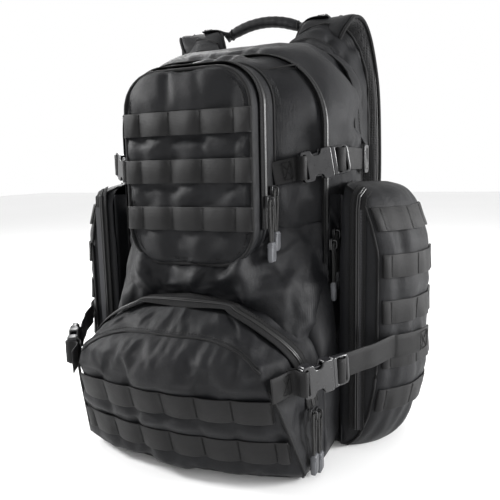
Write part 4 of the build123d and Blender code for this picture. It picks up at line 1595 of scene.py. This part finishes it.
def plug_parts(parts, place, start, mirror):
    """Side-release plug: slotted ladder for its webbing, two barbed prongs and a guide."""
    face = plug_face(start)
    ladder = [(0, 13.4), (0.8, 15.2), (3, 16), (15, 16), (18.4, 15.2), (20.4, 13.2), (21, 10)]
    slots = [box_ring(5.4, 9.6, -13.2, 13.2, 1.2), box_ring(13.2, 17.4, -12.8, 12.8, 1.4)]
    plate(parts, place, mirrored_ring(ladder), slots, 6.4, 0, face, 1.3, mirror)
    plate(parts, place, box_ring(0, 5.2, -15.8, 15.8, 1.2), [], 8.6, 0, face, 1.2, mirror)
    prong = [(1, 8.4), (-22, 7.8), (-24, 8.8), (-24, 10.2), (-22.4, 12.3), (-15.5, 12.7)]
    prong += [(-13.6, 12.2), (-12.6, 10.9), (1, 12.4)]
    for sign in (1, -1):
        plate(parts, place, [(x, sign * y) for x, y in prong], [], 4.4, 0, face, 0.8, mirror)
    guide = [(1, -1.9), (1, 1.9), (-20, 1.6), (-22, 0.8), (-22, -0.8), (-20, -1.6)]
    plate(parts, place, guide, [], 4.2, 0, face, 0.7, mirror)


def band(points, width=WEB, thick=WEB_THICK, up=Vector((0, 0, 1)), bow=0.15):
    """Webbing on edge along points: its face is turned by the path, its width stays near up."""
    normals = [t.cross((up - t * up.dot(t)).normalized()) for t in tangents(points)]
    return ribbon(points, normals, width, thick, bow)


def around_bar(place, start, height):
    """Path of webbing that comes from behind, goes over a buckle's end bar and back under it."""
    steps = [(-9, -7.2), (-4, -6.2), (-1.6, -2.0), (-1.0, 3.2), (1.0, 5.9), (3.2, 5.8)]
    steps += [(4.9, 3.4), (5.0, -1.6), (3.4, -5.9), (-1, -8.6), (-9, -9.4)]
    return [place.at(start + x, 0, z + height) for x, z in steps]


def over_middle_bar(place, start):
    """Path of webbing laced over the middle bar of a plug's ladder."""
    face = plug_face(start)
    steps = [(17.5, -6.2), (11, -6.6), (7.6, -5.2), (7.2, -1), (7.6, 2.6), (9.4, 4.2)]
    steps += [(13.0, 4.2), (14.9, 2.6), (15.3, -1), (16, -4.2), (20, -4.8)]
    return [place.at(face + x, 0, z) for x, z in steps]


def make_buckles():
    for level, place, start, host in SIDE_BUCKLES:
        case = Parts()
        socket_parts(case, place, start, True)
        obj = sharp(case.make(f"{level}_socket_cases", ACETAL, host))
        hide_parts(f"{level}_sockets")
        for side, name in ((1, "right"), (-1, "left")):
            own = place if side == 1 else MirrorPlace(place)
            plug, web = Parts(), Parts()
            plug_parts(plug, own, start, False)
            body = f"{level}_plug_{name}"
            obj = piece(f"{body}_ladder", plug.verts, plug.faces, ACETAL, body, plug.uvs)
            fix_facing(obj, side)
            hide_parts(body)
            lace = smooth_route(over_middle_bar(place, start), 4)
            verts, faces, uvs = band(lace)
            if side < 0:
                verts, faces = [mirror_point(v) for v in verts], reversed_faces(faces)
            web.add(verts, faces, uvs)
            loop = web.make(f"{body}_lacing", WEBBING, body)


class MirrorPlace:
    """A place's mirror image on the pack's left side."""

    def __init__(self, place):
        self.place = place

    def at(self, x, y, z):
        return mirror_point(self.place.at(x, y, z))


def fix_facing(obj, side):
    if side < 0:
        obj.data.flip_normals()
    sharp(obj)


def x_box(parts, place, x0, x1, half, height, mirror=None):
    """Box stitch with a cross, drawn on a place's face."""
    corners = [(x0, -half), (x1, -half), (x1, half), (x0, half)]
    corners += [(x0, -half), (x1, half), (x1, -half), (x0, half)]
    line = [place.at(x, y, height) for x, y in corners]
    one = Parts()
    for a, b in zip(line, line[1:]):
        run = [a.lerp(b, i / 8) for i in range(9)]
        stitch_row(one, run, [place.z] * 9, 3.0, 2.2, 0.15)
    parts.both(one.verts, one.faces, one.uvs, *([mirror] if mirror else []))


def make_straps():
    """Compression webbing: sewn front halves, and rear halves that run back to the bag."""
    for level, place, start, host in SIDE_BUCKLES:
        front, thread = Parts(), Parts()
        roots = (-9.0, -7.8) if level == "upper" else (-3.5, -4.5)
        path = [place.at(x, 0, depth) for x, depth in zip((-4, 4), roots)]
        path += [place.at(start * 0.55, 0, -7.0)] + around_bar(place, start, 0)
        front.both(*band(smooth_route(path, 5)))
        obj = front.make(f"{level}_front_webbing", WEBBING, host)
        if level == "upper":
            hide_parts("upper_front_straps")
        x_box(thread, place, start - 18, start - 8, 9.5, -4.6)
        tack = thread.make(f"{level}_front_tacks", THREAD, host)
    face = plug_face(UPPER_BUCKLE)
    path = [UPPER_STRAP.at(face + x, 0, z) for x, z in ((12, -6.4), (16, -6.2), (21, -5.6))]
    beside = ((150.5, 8), (150.8, 24), (150.6, 44), (150.4, 64), (150.2, 82), (150, 97))
    path += [Vector((x, y, 335.6)) for x, y in beside]
    rear = Parts()
    rear.both(*band(smooth_route(path, 6)))
    upper = rear.make("upper_rear_webbing", WEBBING, None)
    face = plug_face(LOWER_BUCKLE)
    leaving = ((12, -6.4), (17, -6.0), (28, -5.2), (45, -5.6), (62, -5.0))
    path = [LOWER_STRAP.at(face + x, 0, z) for x, z in leaving]
    for i in range(8):
        point, normal = side_face_point(13 + 8 * i)
        path.append(Vector((point.x, point.y, 130.7)) + normal * 4.4)
    point, normal = side_face_point(13 + 8 * 7)
    end = Place(Vector((point.x, point.y, 130.7)) + normal * 5.9, (-normal.y, normal.x, 0), normal)
    rear, thread = Parts(), Parts()
    rear.both(*band(smooth_route(path, 6)), slimmer)
    lower = rear.make("lower_rear_webbing", WEBBING, "pack")
    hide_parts("compression_straps")
    x_box(thread, end, -20, -2, 10, 0.4, slimmer)
    tack = thread.make("lower_rear_tacks", THREAD, "pack")
    return upper


# Harness ------------------------------------------------------------------------------------

STRAP_ROUTE = [  # points down the middle of the right strap, each with the strap's width
    (74, 119.5, 452, 58),
    (82, 121, 490, 60),
    (92, 128, 509, 62),
    (101, 143, 516, 64),
    (108, 157, 507, 66),
    (114, 166, 480, 68),
    (120, 170, 430, 70),
    (123, 169, 370, 70),
    (124, 166, 300, 70),
    (121, 160, 230, 68),
    (116, 152, 170, 62),
    (110, 145, 128, 56),
]
STRAP_THICK = 14.0
STRAP_WEBBED = (20, -3)  # first and last point of a strap that its webbing is sewn along


def strap_frames():
    """Points down a shoulder strap with its width, and directions across it and out of its padded side."""
    route = smooth_route(STRAP_ROUTE, 7)
    points = [Vector(p[:3]) for p in route]
    found = []
    for point, along, data in zip(points, tangents(points), route):
        across = (Vector((1, 0, 0)) - along * along.x).normalized()
        found.append((point, data[3], across, along.cross(across)))
    return found


def make_shoulder_strap(side, name):
    rings, left_edge, right_edge, spine, spine_normals = [], [], [], [], []
    count = 28
    for i, (point, width, across, out) in enumerate(strap_frames()):
        ring = []
        for j in range(count):
            turn = 2 * math.pi * j / count
            c, s = math.cos(turn), math.sin(turn)
            wide = math.copysign(abs(c) ** 0.45, c) * (width / 2 - 2)
            thick = math.copysign(abs(s) ** 0.7, s) * (STRAP_THICK / 2 - 1.0)
            wave = 0.35 * math.sin(i * 0.9) * abs(s)
            ring.append(point + across * wide + out * (thick + wave))
        rings.append([on_side(p, side) for p in ring])
        for edge, sign in ((right_edge, 1), (left_edge, -1)):
            edge.append(on_side(point + across * (sign * (width / 2 - 0.8)), side))
        spine.append(on_side(point - out * (STRAP_THICK / 2 - 0.9), side))
        spine_normals.append(on_side(-out, side))
    verts, faces, uvs = swept(rings)
    if side < 0:
        faces = reversed_faces(faces)
    obj = piece(f"{name}_pad", verts, faces, STRAP_CLOTH, "pack", uvs)
    obj.data.materials.append(MESH)
    for polygon in obj.data.polygons[: (len(rings) - 1) * count]:
        if polygon.index % count < count // 2:
            polygon.material_index = 1
    hang_cloth(obj, lambda p: False, lambda p: 0.8, lambda p: 1.2, spare=0.03, pressure=1.0)
    subdivide(obj)
    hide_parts(name)
    trim, web, thread = Parts(), Parts(), Parts()
    for edge in (left_edge, right_edge):
        trim.add(*tube(edge, 2.3, 8))
    binding = trim.make(f"{name}_binding", BINDING, "pack")
    first, last = STRAP_WEBBED
    webbed_normals = spine_normals[first:last]
    web.add(*ribbon(spine[first:last], webbed_normals, WEB, WEB_THICK, 0.2))
    strip = web.make(f"{name}_webbing", WEBBING, "pack")
    across = [f[2] for f in strap_frames()]
    for offset in (-10.8, 10.8):
        line = []
        for i in range(first, len(spine) + last):
            shift = on_side(across[i], side) * offset
            line.append(spine[i] + shift + spine_normals[i] * (WEB_THICK + 0.1))
        stitch_row(thread, line, webbed_normals, 4.2, 3.0, 0.15)
    rows = thread.make(f"{name}_stitches", THREAD, "pack")


def patch(rows, steps=6):
    """Smooth sheet through a grid of points: rows of the same length."""
    dense = [smooth_route(row, steps) for row in rows]
    columns = [smooth_route([row[i] for row in dense], steps) for i in range(len(dense[0]))]
    return [list(row) for row in zip(*columns)]


def make_yoke():
    """Sewn panel between the straps' roots, and the flaps that brace them from the bag."""
    low, high = box_mm("yoke")
    rows = []
    for step in range(9):
        height = low.z + 2 + (high.z - low.z - 4) * step / 8
        rows.append([Vector((x, high.y + 1.4 - 0.9 * abs(x) / 112, height)) for x in range(-108, 109, 9)])
    verts, faces, uvs = skin(rows)
    obj = piece("yoke_panel", verts, faces, FABRIC, "pack", uvs)
    obj.data.flip_normals()
    thicken(obj, 1.8)
    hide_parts("yoke")

    def bag_point(y, turn, lift):
        """Point on the bag's rounded top corner; turn is 0 at its side and 90 on its top."""
        half, _, high, radius, _ = grown(bag_shape(y), lift)
        angle = math.radians(turn)
        return Vector((half - radius * (1 - math.cos(angle)), y, high - radius * (1 - math.sin(angle))))

    root = [
        [bag_point(*at) for at in ((84, 92, -1), (80, 68, 0), (76, 46, 1), (70, 22, 1))] + [(146.5, 62, 372)],
        [(52, 97, 487), (84, 98, 489), (113, 95, 470), (139, 90, 428), (149.5, 82, 364)],
        [(57, 108, 496), (86, 111, 503), (116, 114, 484), (140, 110, 438), (151, 100, 356)],
        [(60, 114, 501), (90, 118, 511), (121, 130, 500), (145, 131, 450), (152.5, 116, 352)],
    ]
    grid = patch(root, 7)
    for row in grid:
        for i, point in enumerate(row):
            crease = folds(point, unit(0.7, -0.3, 0.6), 15, 60, 5.0, 4.0)
            point += Vector((0.4, -1.0, 0.4)) * (crease * min(i, len(row) - 1 - i, 5) / 5)
    verts, faces, uvs = skin(grid)
    sheet = Parts()
    sheet.both(verts, faces, uvs)
    flap = sheet.make("yoke_flaps", STRAP_CLOTH, "pack")
    thicken(flap, 1.8)
    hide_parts("yoke_wings")
    trim, thread = Parts(), Parts()
    trim.both(*tube(grid[-1], 1.8, 8))
    trim.both(*tube(grid[0], 1.3, 6))
    one = Parts()
    inner = grid[len(grid) // 3]
    stitch_row(one, [p + Vector((0.3, -0.8, 0.5)) for p in inner], [Vector((0.5, -0.6, 0.6))] * len(inner))
    thread.both(one.verts, one.faces, one.uvs)
    edge = trim.make("yoke_flap_binding", BINDING, "pack")
    rows = thread.make("yoke_flap_stitches", THREAD, "pack")


HANDLE_REACH, HANDLE_RISE = 54.0, 13.0
HANDLE_Y, HANDLE_Z = 143.0, 516.0


def handle_route(reach, steps=24):
    """Points along the handle's arc, out to a distance either side of its middle."""
    radius = (HANDLE_REACH**2 + HANDLE_RISE**2) / (2 * HANDLE_RISE)
    points = []
    for i in range(steps + 1):
        x = -reach + 2 * reach * i / steps
        points.append(Vector((x, HANDLE_Y, HANDLE_Z + HANDLE_RISE - radius + math.sqrt(radius**2 - x * x))))
    return points


def make_handle():
    """Rolled handle with a seam along its underside, and the tabs that carry it on into the straps."""
    middle = handle_route(54, 54)

    def radius(i):
        end = min(i, len(middle) - 1 - i)
        return 7.6 * min(1.0, 0.8 + 0.03 * end) + 0.18 * math.sin(i * 1.3)

    roll = Parts()
    roll.add(*tube(middle, radius, 20, hint=Vector((0, 1, 0))))
    obj = roll.make("handle_roll", STRAP_CLOTH, "handle")
    subdivide(obj)
    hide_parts("handle")
    wraps, thread = Parts(), Parts()
    for share in (2, len(middle) - 3):
        centre = middle[share]
        turns = [t / 12 * math.tau for t in range(12)]
        ring = [centre + Vector((0, math.cos(turn), math.sin(turn))) * 6.9 for turn in turns]
        wraps.add(*tube(ring, 1.3, 6, True, Vector((1, 0, 0))))
    seam = [p + Vector((0, -5.6, -5.2)) for p in middle[3:-3]]
    stitch_row(thread, seam, [Vector((0, -0.75, -0.65))] * len(seam))
    cuff = wraps.make("handle_cuffs", BINDING, "handle")
    line = thread.make("handle_stitches", THREAD, "handle")
    tabs, tacks = Parts(), Parts()
    course = [(53, 515), (59, 518.5), (67, 523.5), (78, 525.2), (94, 524.6)]
    path = smooth_route([(x, HANDLE_Y, z) for x, z in course], 6)
    rings = []
    for i, along in enumerate(tangents(path)):
        share = i / (len(path) - 1)
        wide, tall = 6.2 + 6.3 * min(share * 2.4, 1), 6.2 * (1 - min(share * 2.4, 1)) + 1.6
        up = Vector((0, 1, 0)).cross(along) * -1
        ring = []
        for k in range(16):
            turn = math.tau * k / 16
            ring.append(path[i] + Vector((0, wide * math.cos(turn), 0)) + up * (tall * math.sin(turn)))
        rings.append(ring)
    tabs.both(*swept(rings))
    strip = tabs.make("handle_tab_cloth", STRAP_CLOTH, "pack")
    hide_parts("handle_tabs")
    tab_place = Place((80, 143, 526.9), (1, 0, 0), (0, 0, 1))
    x_box(tacks, tab_place, 0, 12, 8.5, 0.0)
    sewn = tacks.make("handle_tab_tacks", THREAD, "pack")


def rounded_pad(low, high, edge, pitch=6.0, channels=()):
    """Front of a pad standing on a wall at its low Y: a crowned face with soft edges."""
    width, height, depth = high.x - low.x, high.z - low.z, high.y - low.y
    columns, rows = int(width / pitch), int(height / pitch)
    grid = []
    for j in range(rows + 1):
        row = []
        for i in range(columns + 1):
            x, z = low.x + width * i / columns, low.z + height * j / rows
            inside = min(x - low.x, high.x - x, z - low.z, high.z - z)
            swell = math.sin(math.pi / 2 * min(inside / edge, 1)) ** 0.8
            for level in channels:
                swell *= 1 - 0.55 * math.exp(-(((z - level) / 4.0) ** 2))
            row.append(Vector((x, low.y + depth * swell, z)))
        grid.append(row)
    return grid


def make_back_pads():
    back = box_mm("bag")[1].y + 0.3
    pads = Parts()
    for x0, x1 in ((16, 118), (-118, -16)):
        grid = rounded_pad(Vector((x0, back, 190)), Vector((x1, back + 15, 400)), 18, 6, (242, 295, 348))
        verts, faces, uvs = skin(grid)
        pads.add(verts, reversed_faces(faces), uvs)
    grid = rounded_pad(Vector((-92, back, 36)), Vector((92, back + 19, 178)), 22, 6, (106,))
    verts, faces, uvs = skin(grid)
    pads.add(verts, reversed_faces(faces), uvs)
    obj = pads.make("back_pad_covers", MESH, "pack")
    hang_cloth(obj, lambda p: p.y < back + 2, lambda p: 2.0, lambda p: 2.0, spare=0.02, pressure=1.0)
    thicken(obj, 1.5)
    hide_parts("back_pads")
    trim = Parts()
    for x0, x1, z0, z1, mirror in ((16, 118, 190, 400, True), (-92, 92, 36, 178, False)):
        ring = [(x0, z0), (x1, z0), (x1, z1), (x0, z1)]
        line = evenly([Vector((x, back + 0.8, z)) for x, z in ring], 4, True)
        (trim.both if mirror else trim.add)(*tube(line, 1.8, 6, True, OUTWARD_Y))
    edge = trim.make("back_pad_binding", BINDING, "pack")


def make_strap_ends():
    """Tails of webbing from the shoulder straps' tips to the bag, with their ladder locks."""
    web, locks = Parts(), Parts()
    course = [(110, 143.5, 118), (110.5, 140, 106), (114, 134, 92), (119, 125, 74), (124, 113.5, 52)]
    tail = smooth_route(course, 6)
    web.both(*ribbon(tail, [Vector((0.3, 0.8, 0.5))] * len(tail), WEB, WEB_THICK, 0.1))
    course = [(109, 149.5, 112), (109, 153, 96), (110, 152, 70), (112, 146, 40), (113, 141, 12)]
    loose = smooth_route(course, 6)
    web.both(*ribbon(loose, [Vector((0, 1, 0.1))] * len(loose), WEB, WEB_THICK, 0.1))
    obj = web.make("strap_tail_webbing", WEBBING, "pack")
    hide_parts("strap_tails")
    rise, run = math.sin(math.radians(15)), math.cos(math.radians(15))
    lock = Place((109, 146.5, 108), (0, rise, run), (0, run, -rise))
    frame_ring = [(-14, 12), (-13, 15.5), (-9, 17), (9, 17), (13, 15.5), (14, 12)]
    slots = [box_ring(-9, -3, -13.2, 13.2, 1.2), box_ring(3, 9, -13.2, 13.2, 1.2)]
    plate(locks, lock, mirrored_ring(frame_ring), slots, 5.4, 0, 0, 1.3, True)
    lock_obj = sharp(locks.make("ladder_locks", ACETAL, "pack"))
    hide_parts("strap_adjusters")
    slides = Parts()
    place = Place((153.4, 95, 335.5), (0, 1, 0), (1, 0, 0))
    ring = [(-11, 14), (-10, 16.6), (-7, 17.6), (7, 17.6), (10, 16.6), (11, 14)]
    slots = [box_ring(-7, -2, -13.2, 13.2, 1.2), box_ring(2, 7, -13.2, 13.2, 1.2)]
    plate(slides, place, mirrored_ring(ring), slots, 3.4, 0, 0, 0.9, True)
    slide_obj = sharp(slides.make("yoke_slides", ACETAL, "pack"))
    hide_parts("strap_sliders")


def make_sternum():
    """Sternum strap: rails on the shoulder straps, webbing and a small buckle."""
    rails = Parts()
    rail = [Vector((127, 178.0, 362 + 4 * i)) for i in range(20)]
    rails.both(*ribbon(rail, [Vector((0, 1, 0))] * len(rail), 18, 1.3, 0.1))
    obj = rails.make("sternum_rail_webbing", WEBBING, "pack")
    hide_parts("sternum_rails")
    web = Parts()
    for x0, x1 in ((12, 139), (-139, -32)):
        steps = 24
        line = []
        for i in range(steps + 1):
            line.append(Vector((x0 + (x1 - x0) * i / steps, 186.6 + 0.5 * math.sin(i * 0.5), 400)))
        web.add(*ribbon(line, [Vector((0, 1, 0))] * len(line), 20, 1.2, 0.1))
    strip = web.make("sternum_strap_webbing", WEBBING, "sternum_strap")
    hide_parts("sternum_webbing")
    place = Place((22, 193, 400), (-1, 0, 0), (0, 1, 0), 0.81)
    halves = (("socket", socket_parts, "sternum_strap"), ("plug", plug_parts, "sternum_release"))
    for kind, build, body in halves:
        part = Parts()
        build(part, place, 0.0, False)
        obj = sharp(part.make(f"sternum_{kind}_case", ACETAL, body))
        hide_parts(f"sternum_{kind}")


# Zip pulls ----------------------------------------------------------------------------------

PULLS = {  # the eye of each slider
    "upper_a": (89.0, -60.2, 302.0),
    "upper_b": (89.0, -73.8, 292.0),
    "main_a": (141.0, 0.6, 250.0),
    "main_b": (141.0, -13.0, 240.0),
    "lower_a": (144.4, -86.0, 70.0),
    "lower_b": (142.8, -99.6, 74.0),
}
CORD_ROUTE = [  # from the eye: along Y, along Z and along X
    (-2.4, -44.0, -0.2),
    (-3.9, -29.04, 0.3),
    (-4.6, -14.96, 0.2),
    (-3.9, -5.6, -0.1),
    (-3.3, 1.0, 0.0),
    (3.3, 1.0, 0.1),
    (4.1, -5.9, 0.0),
    (4.9, -15.84, 0.3),
    (4.0, -29.92, -0.3),
    (2.4, -44.0, -0.2),
]
CORD_THICK = 0.003


def make_pull(name):
    """Slider with its bridge, the cord looped through it, and the moulded tip."""
    eye = Vector(PULLS[name])
    flat = Place(eye, (0, 1, 0), (1, 0, 0))
    upright = Place(eye, (0, 0, 1), (0, 1, 0))
    slider = Parts()
    shield = [(-4.6, 4.4), (-3.4, 6.2), (3.4, 6.2), (4.6, 4.4)]
    shield += [(4.4, -1.5), (3.0, -7), (-3.0, -7), (-4.4, -1.5)]
    plate(slider, flat, shield, [], 1.6, -2.6, 0, 0.5)
    plate(slider, flat, [(x * 0.92, y * 0.92) for x, y in shield], [], 1.2, -4.3, 0, 0.4)
    plate(slider, flat, box_ring(-1.3, 1.3, -6.0, 5.4, 0.6), [], 1.6, -3.5, 0, 0.4)
    arch = [(-6.2, -2.4), (-6.4, 0.6), (-4.8, 3.2), (-2.2, 3.9)]
    arch += [(2.2, 3.9), (4.6, 2.8), (5.2, 0.6), (5.0, -2.4)]
    hole = [(-4.4, -1.6), (-4.4, 0.6), (-3.2, 2.2), (2.0, 2.4), (3.2, 1.6), (3.4, -1.6)]
    plate(slider, upright, arch, [hole], 2.2, 0, 0, 0.5)
    body = sharp(slider.make(f"slider_{name}_body", SLIDER, f"zip_{name}"))
    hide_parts(f"slider_{name}")
    tip = Parts()
    left = [(-4.4, -43.6), (-5.7, -46.5), (-6.2, -61.5), (-5.0, -64.8)]
    block = left + [(-x, y) for x, y in reversed(left)]
    plate(tip, flat, block, [], 6.0, 0, 0, 1.7)
    for height in (3.0, -3.0):
        plate(tip, flat, [(x * 0.72, -54.8 + (y + 54.2) * 0.72) for x, y in block], [], 0.9, height, 0, 0.3)
    for z in (-46.0, -48.2):
        plate(tip, flat, box_ring(-5.9, 5.9, z - 0.5, z + 0.5, 0.3), [], 6.8, 0, 0, 0.35)
    end = sharp(tip.make(f"tip_{name}_moulding", RUBBER, f"pull_{name}"), 40)
    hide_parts(f"tip_{name}")
    curve = bpy.data.curves.new(f"cord_{name}_braid", "CURVE")
    curve.dimensions = "3D"
    curve.bevel_depth = CORD_THICK / 2
    curve.bevel_resolution = 4
    spline = curve.splines.new("NURBS")
    spline.points.add(len(CORD_ROUTE) - 1)
    for point, (y, z, x) in zip(spline.points, CORD_ROUTE):
        point.co = (*((eye + Vector((x, y, z))) * MM), 1)
    spline.order_u = 3
    spline.use_endpoint_u = True
    spline.resolution_u = 10
    cord = link_object(f"cord_{name}_braid", curve, CORD, f"pull_{name}")
    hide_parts(f"cord_{name}")
    y, z, x = CORD_ROUTE[0]


# Inside -------------------------------------------------------------------------------------


def make_insides():
    """Sleeve, organiser and tool strip, and materials for the frame sheet and its stays."""
    for node, name, body, material, facing in (
        ("inner_sleeve", "sleeve_pad", "pack", LINING, -1),
        ("panel_organiser", "organiser_mesh", "main_flap", MESH, 1),
        ("pocket_divider", "tool_strip", "main_flap", WEBBING, -1),
    ):
        low, high = box_mm(node)
        front = Vector((low.x, 0, low.z)), Vector((high.x, high.y - low.y, high.z))
        grid = rounded_pad(*front, 8, 7)
        base = high.y if facing < 0 else low.y
        flipped = [[Vector((p.x, base + facing * p.y, p.z)) for p in row] for row in grid]
        verts, faces, uvs = skin(flipped)
        if facing > 0:
            faces = reversed_faces(faces)
        obj = piece(name, verts, faces, material, body, uvs)
        thicken(obj, 1.0)
        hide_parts(node)
        frame_slot(node)
    for node, material in (("frame_sheet", SHEET), ("frame_stays", ALUMINIUM), ("sternum_clips", ACETAL)):
        data = frame["nodes"][node].data
        data.materials.clear()
        data.materials.append(material)


def frame_slot(node):
    return next(part["material_slot"] for part in frame["record"]["subparts"] if part["node"] == node)


# Stage --------------------------------------------------------------------------------------


CAMERA_TURNS = (23.5, 8.6, -1.3)  # yaw, pitch and roll in degrees
CAMERA_PLACE = (0.299, -0.6156, 0.3285)
CAMERA_LENS = 39.6


def make_camera():
    yaw, pitch, roll = (math.radians(angle) for angle in CAMERA_TURNS)
    forward = Vector((-math.sin(yaw) * math.cos(pitch), math.cos(yaw) * math.cos(pitch), -math.sin(pitch)))
    right = Vector((math.cos(yaw), math.sin(yaw), 0))
    up = right.cross(forward)
    level_right = right * math.cos(roll) + up * math.sin(roll)
    level_up = up * math.cos(roll) - right * math.sin(roll)
    data = bpy.data.cameras.new("camera")
    data.lens = CAMERA_LENS
    camera = bpy.data.objects.new("camera", data)
    turn = Matrix((level_right, level_up, -forward)).transposed()
    camera.matrix_world = Matrix.Translation(CAMERA_PLACE) @ turn.to_4x4()
    bpy.context.collection.objects.link(camera)
    bpy.context.scene.camera = camera


def area_light(name, place, aim, size, power):
    data = bpy.data.lights.new(name, "AREA")
    data.shape = "DISK"
    data.size = size
    data.energy = power
    lamp = bpy.data.objects.new(name, data)
    lamp.location = place
    lamp.rotation_euler = (Vector(aim) - Vector(place)).to_track_quat("-Z", "Y").to_euler()
    bpy.context.collection.objects.link(lamp)


def make_stage():
    floor_paint = Finish("studio_floor", (0.86, 0.86, 0.86), 0.6, "Object")
    floor_paint.paint(floor_paint.vary(900.0, 0.985, 1.0))
    reach = 6.0
    data = bpy.data.meshes.new("studio_floor")
    corners = [(-reach, -reach, 0), (reach, -reach, 0), (reach, reach, 0), (-reach, reach, 0)]
    data.from_pydata(corners, [], [(0, 1, 2, 3)])
    data.materials.append(floor_paint.done())
    floor = bpy.data.objects.new("studio_floor", data)
    bpy.context.collection.objects.link(floor)
    world = bpy.data.worlds.new("studio")
    world.use_nodes = True
    world.node_tree.nodes["Background"].inputs["Color"].default_value = (1, 1, 1, 1)
    world.node_tree.nodes["Background"].inputs["Strength"].default_value = 1.0
    bpy.context.scene.world = world
    bpy.context.scene.view_settings.view_transform = "Standard"
    middle = (0, 0, 0.26)
    area_light("key", (-1.7, -0.4, 1.1), middle, 0.5, 50)
    area_light("fill", (1.3, -1.3, 0.8), middle, 1.0, 5)
    area_light("rim", (-0.9, 1.1, 1.1), middle, 0.8, 11)
    area_light("side", (1.55, 0.3, 0.55), middle, 0.5, 40)


# Making -------------------------------------------------------------------------------------

make_camera()
make_stage()
for pull in PULLS:
    make_pull(pull)

pocket_sheet = make_pocket_face()
make_upper_webbing()
make_pocket_gusset(pocket_sheet)
make_pocket_trim(pocket_sheet)
pocket_zip_points, pocket_zip_normals = arch_path(grown(POCKET_MOUTH, 0.5), POCKET_BACK + 0.2, 262)
pocket_bodies = ("pocket_flap", "main_flap")
make_zip("pocket_zip", pocket_zip_points, pocket_zip_normals, pocket_bodies, 20, replaced=("pocket_zip",))
make_main_panel()
drape = make_drape()
make_bag()
make_block()
make_side_gussets()
main_zip_points, main_zip_normals = arch_path(grown(PANEL_MOUTH, 0.6), PANEL_BACK + 0.2, 218)
make_zip("main_zip", main_zip_points, main_zip_normals, ("main_flap", "pack"), 20, replaced=("main_zip",))
make_lower_pocket()
make_lower_webbing()
lower_zip_points, lower_zip_normals = lower_zip_path()
make_zip("lower_zip", lower_zip_points, lower_zip_normals, ("pack", "pack"), 22, replaced=("lower_zip",))
make_side_pocket(1, "side_pocket_right")
make_side_pocket(-1, "side_pocket_left")
make_side_webbing()
make_buckles()
upper_rear = make_straps()
make_shoulder_strap(1, "shoulder_strap_right")
make_shoulder_strap(-1, "shoulder_strap_left")
make_yoke()
make_handle()
make_back_pads()
make_strap_ends()
make_sternum()
make_insides()

settle_cloths()

for ridden, ridden_body in RIDES:
    if ridden_body is not None:
        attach(ridden, ridden_body)
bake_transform(drape)
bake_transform(upper_rear)
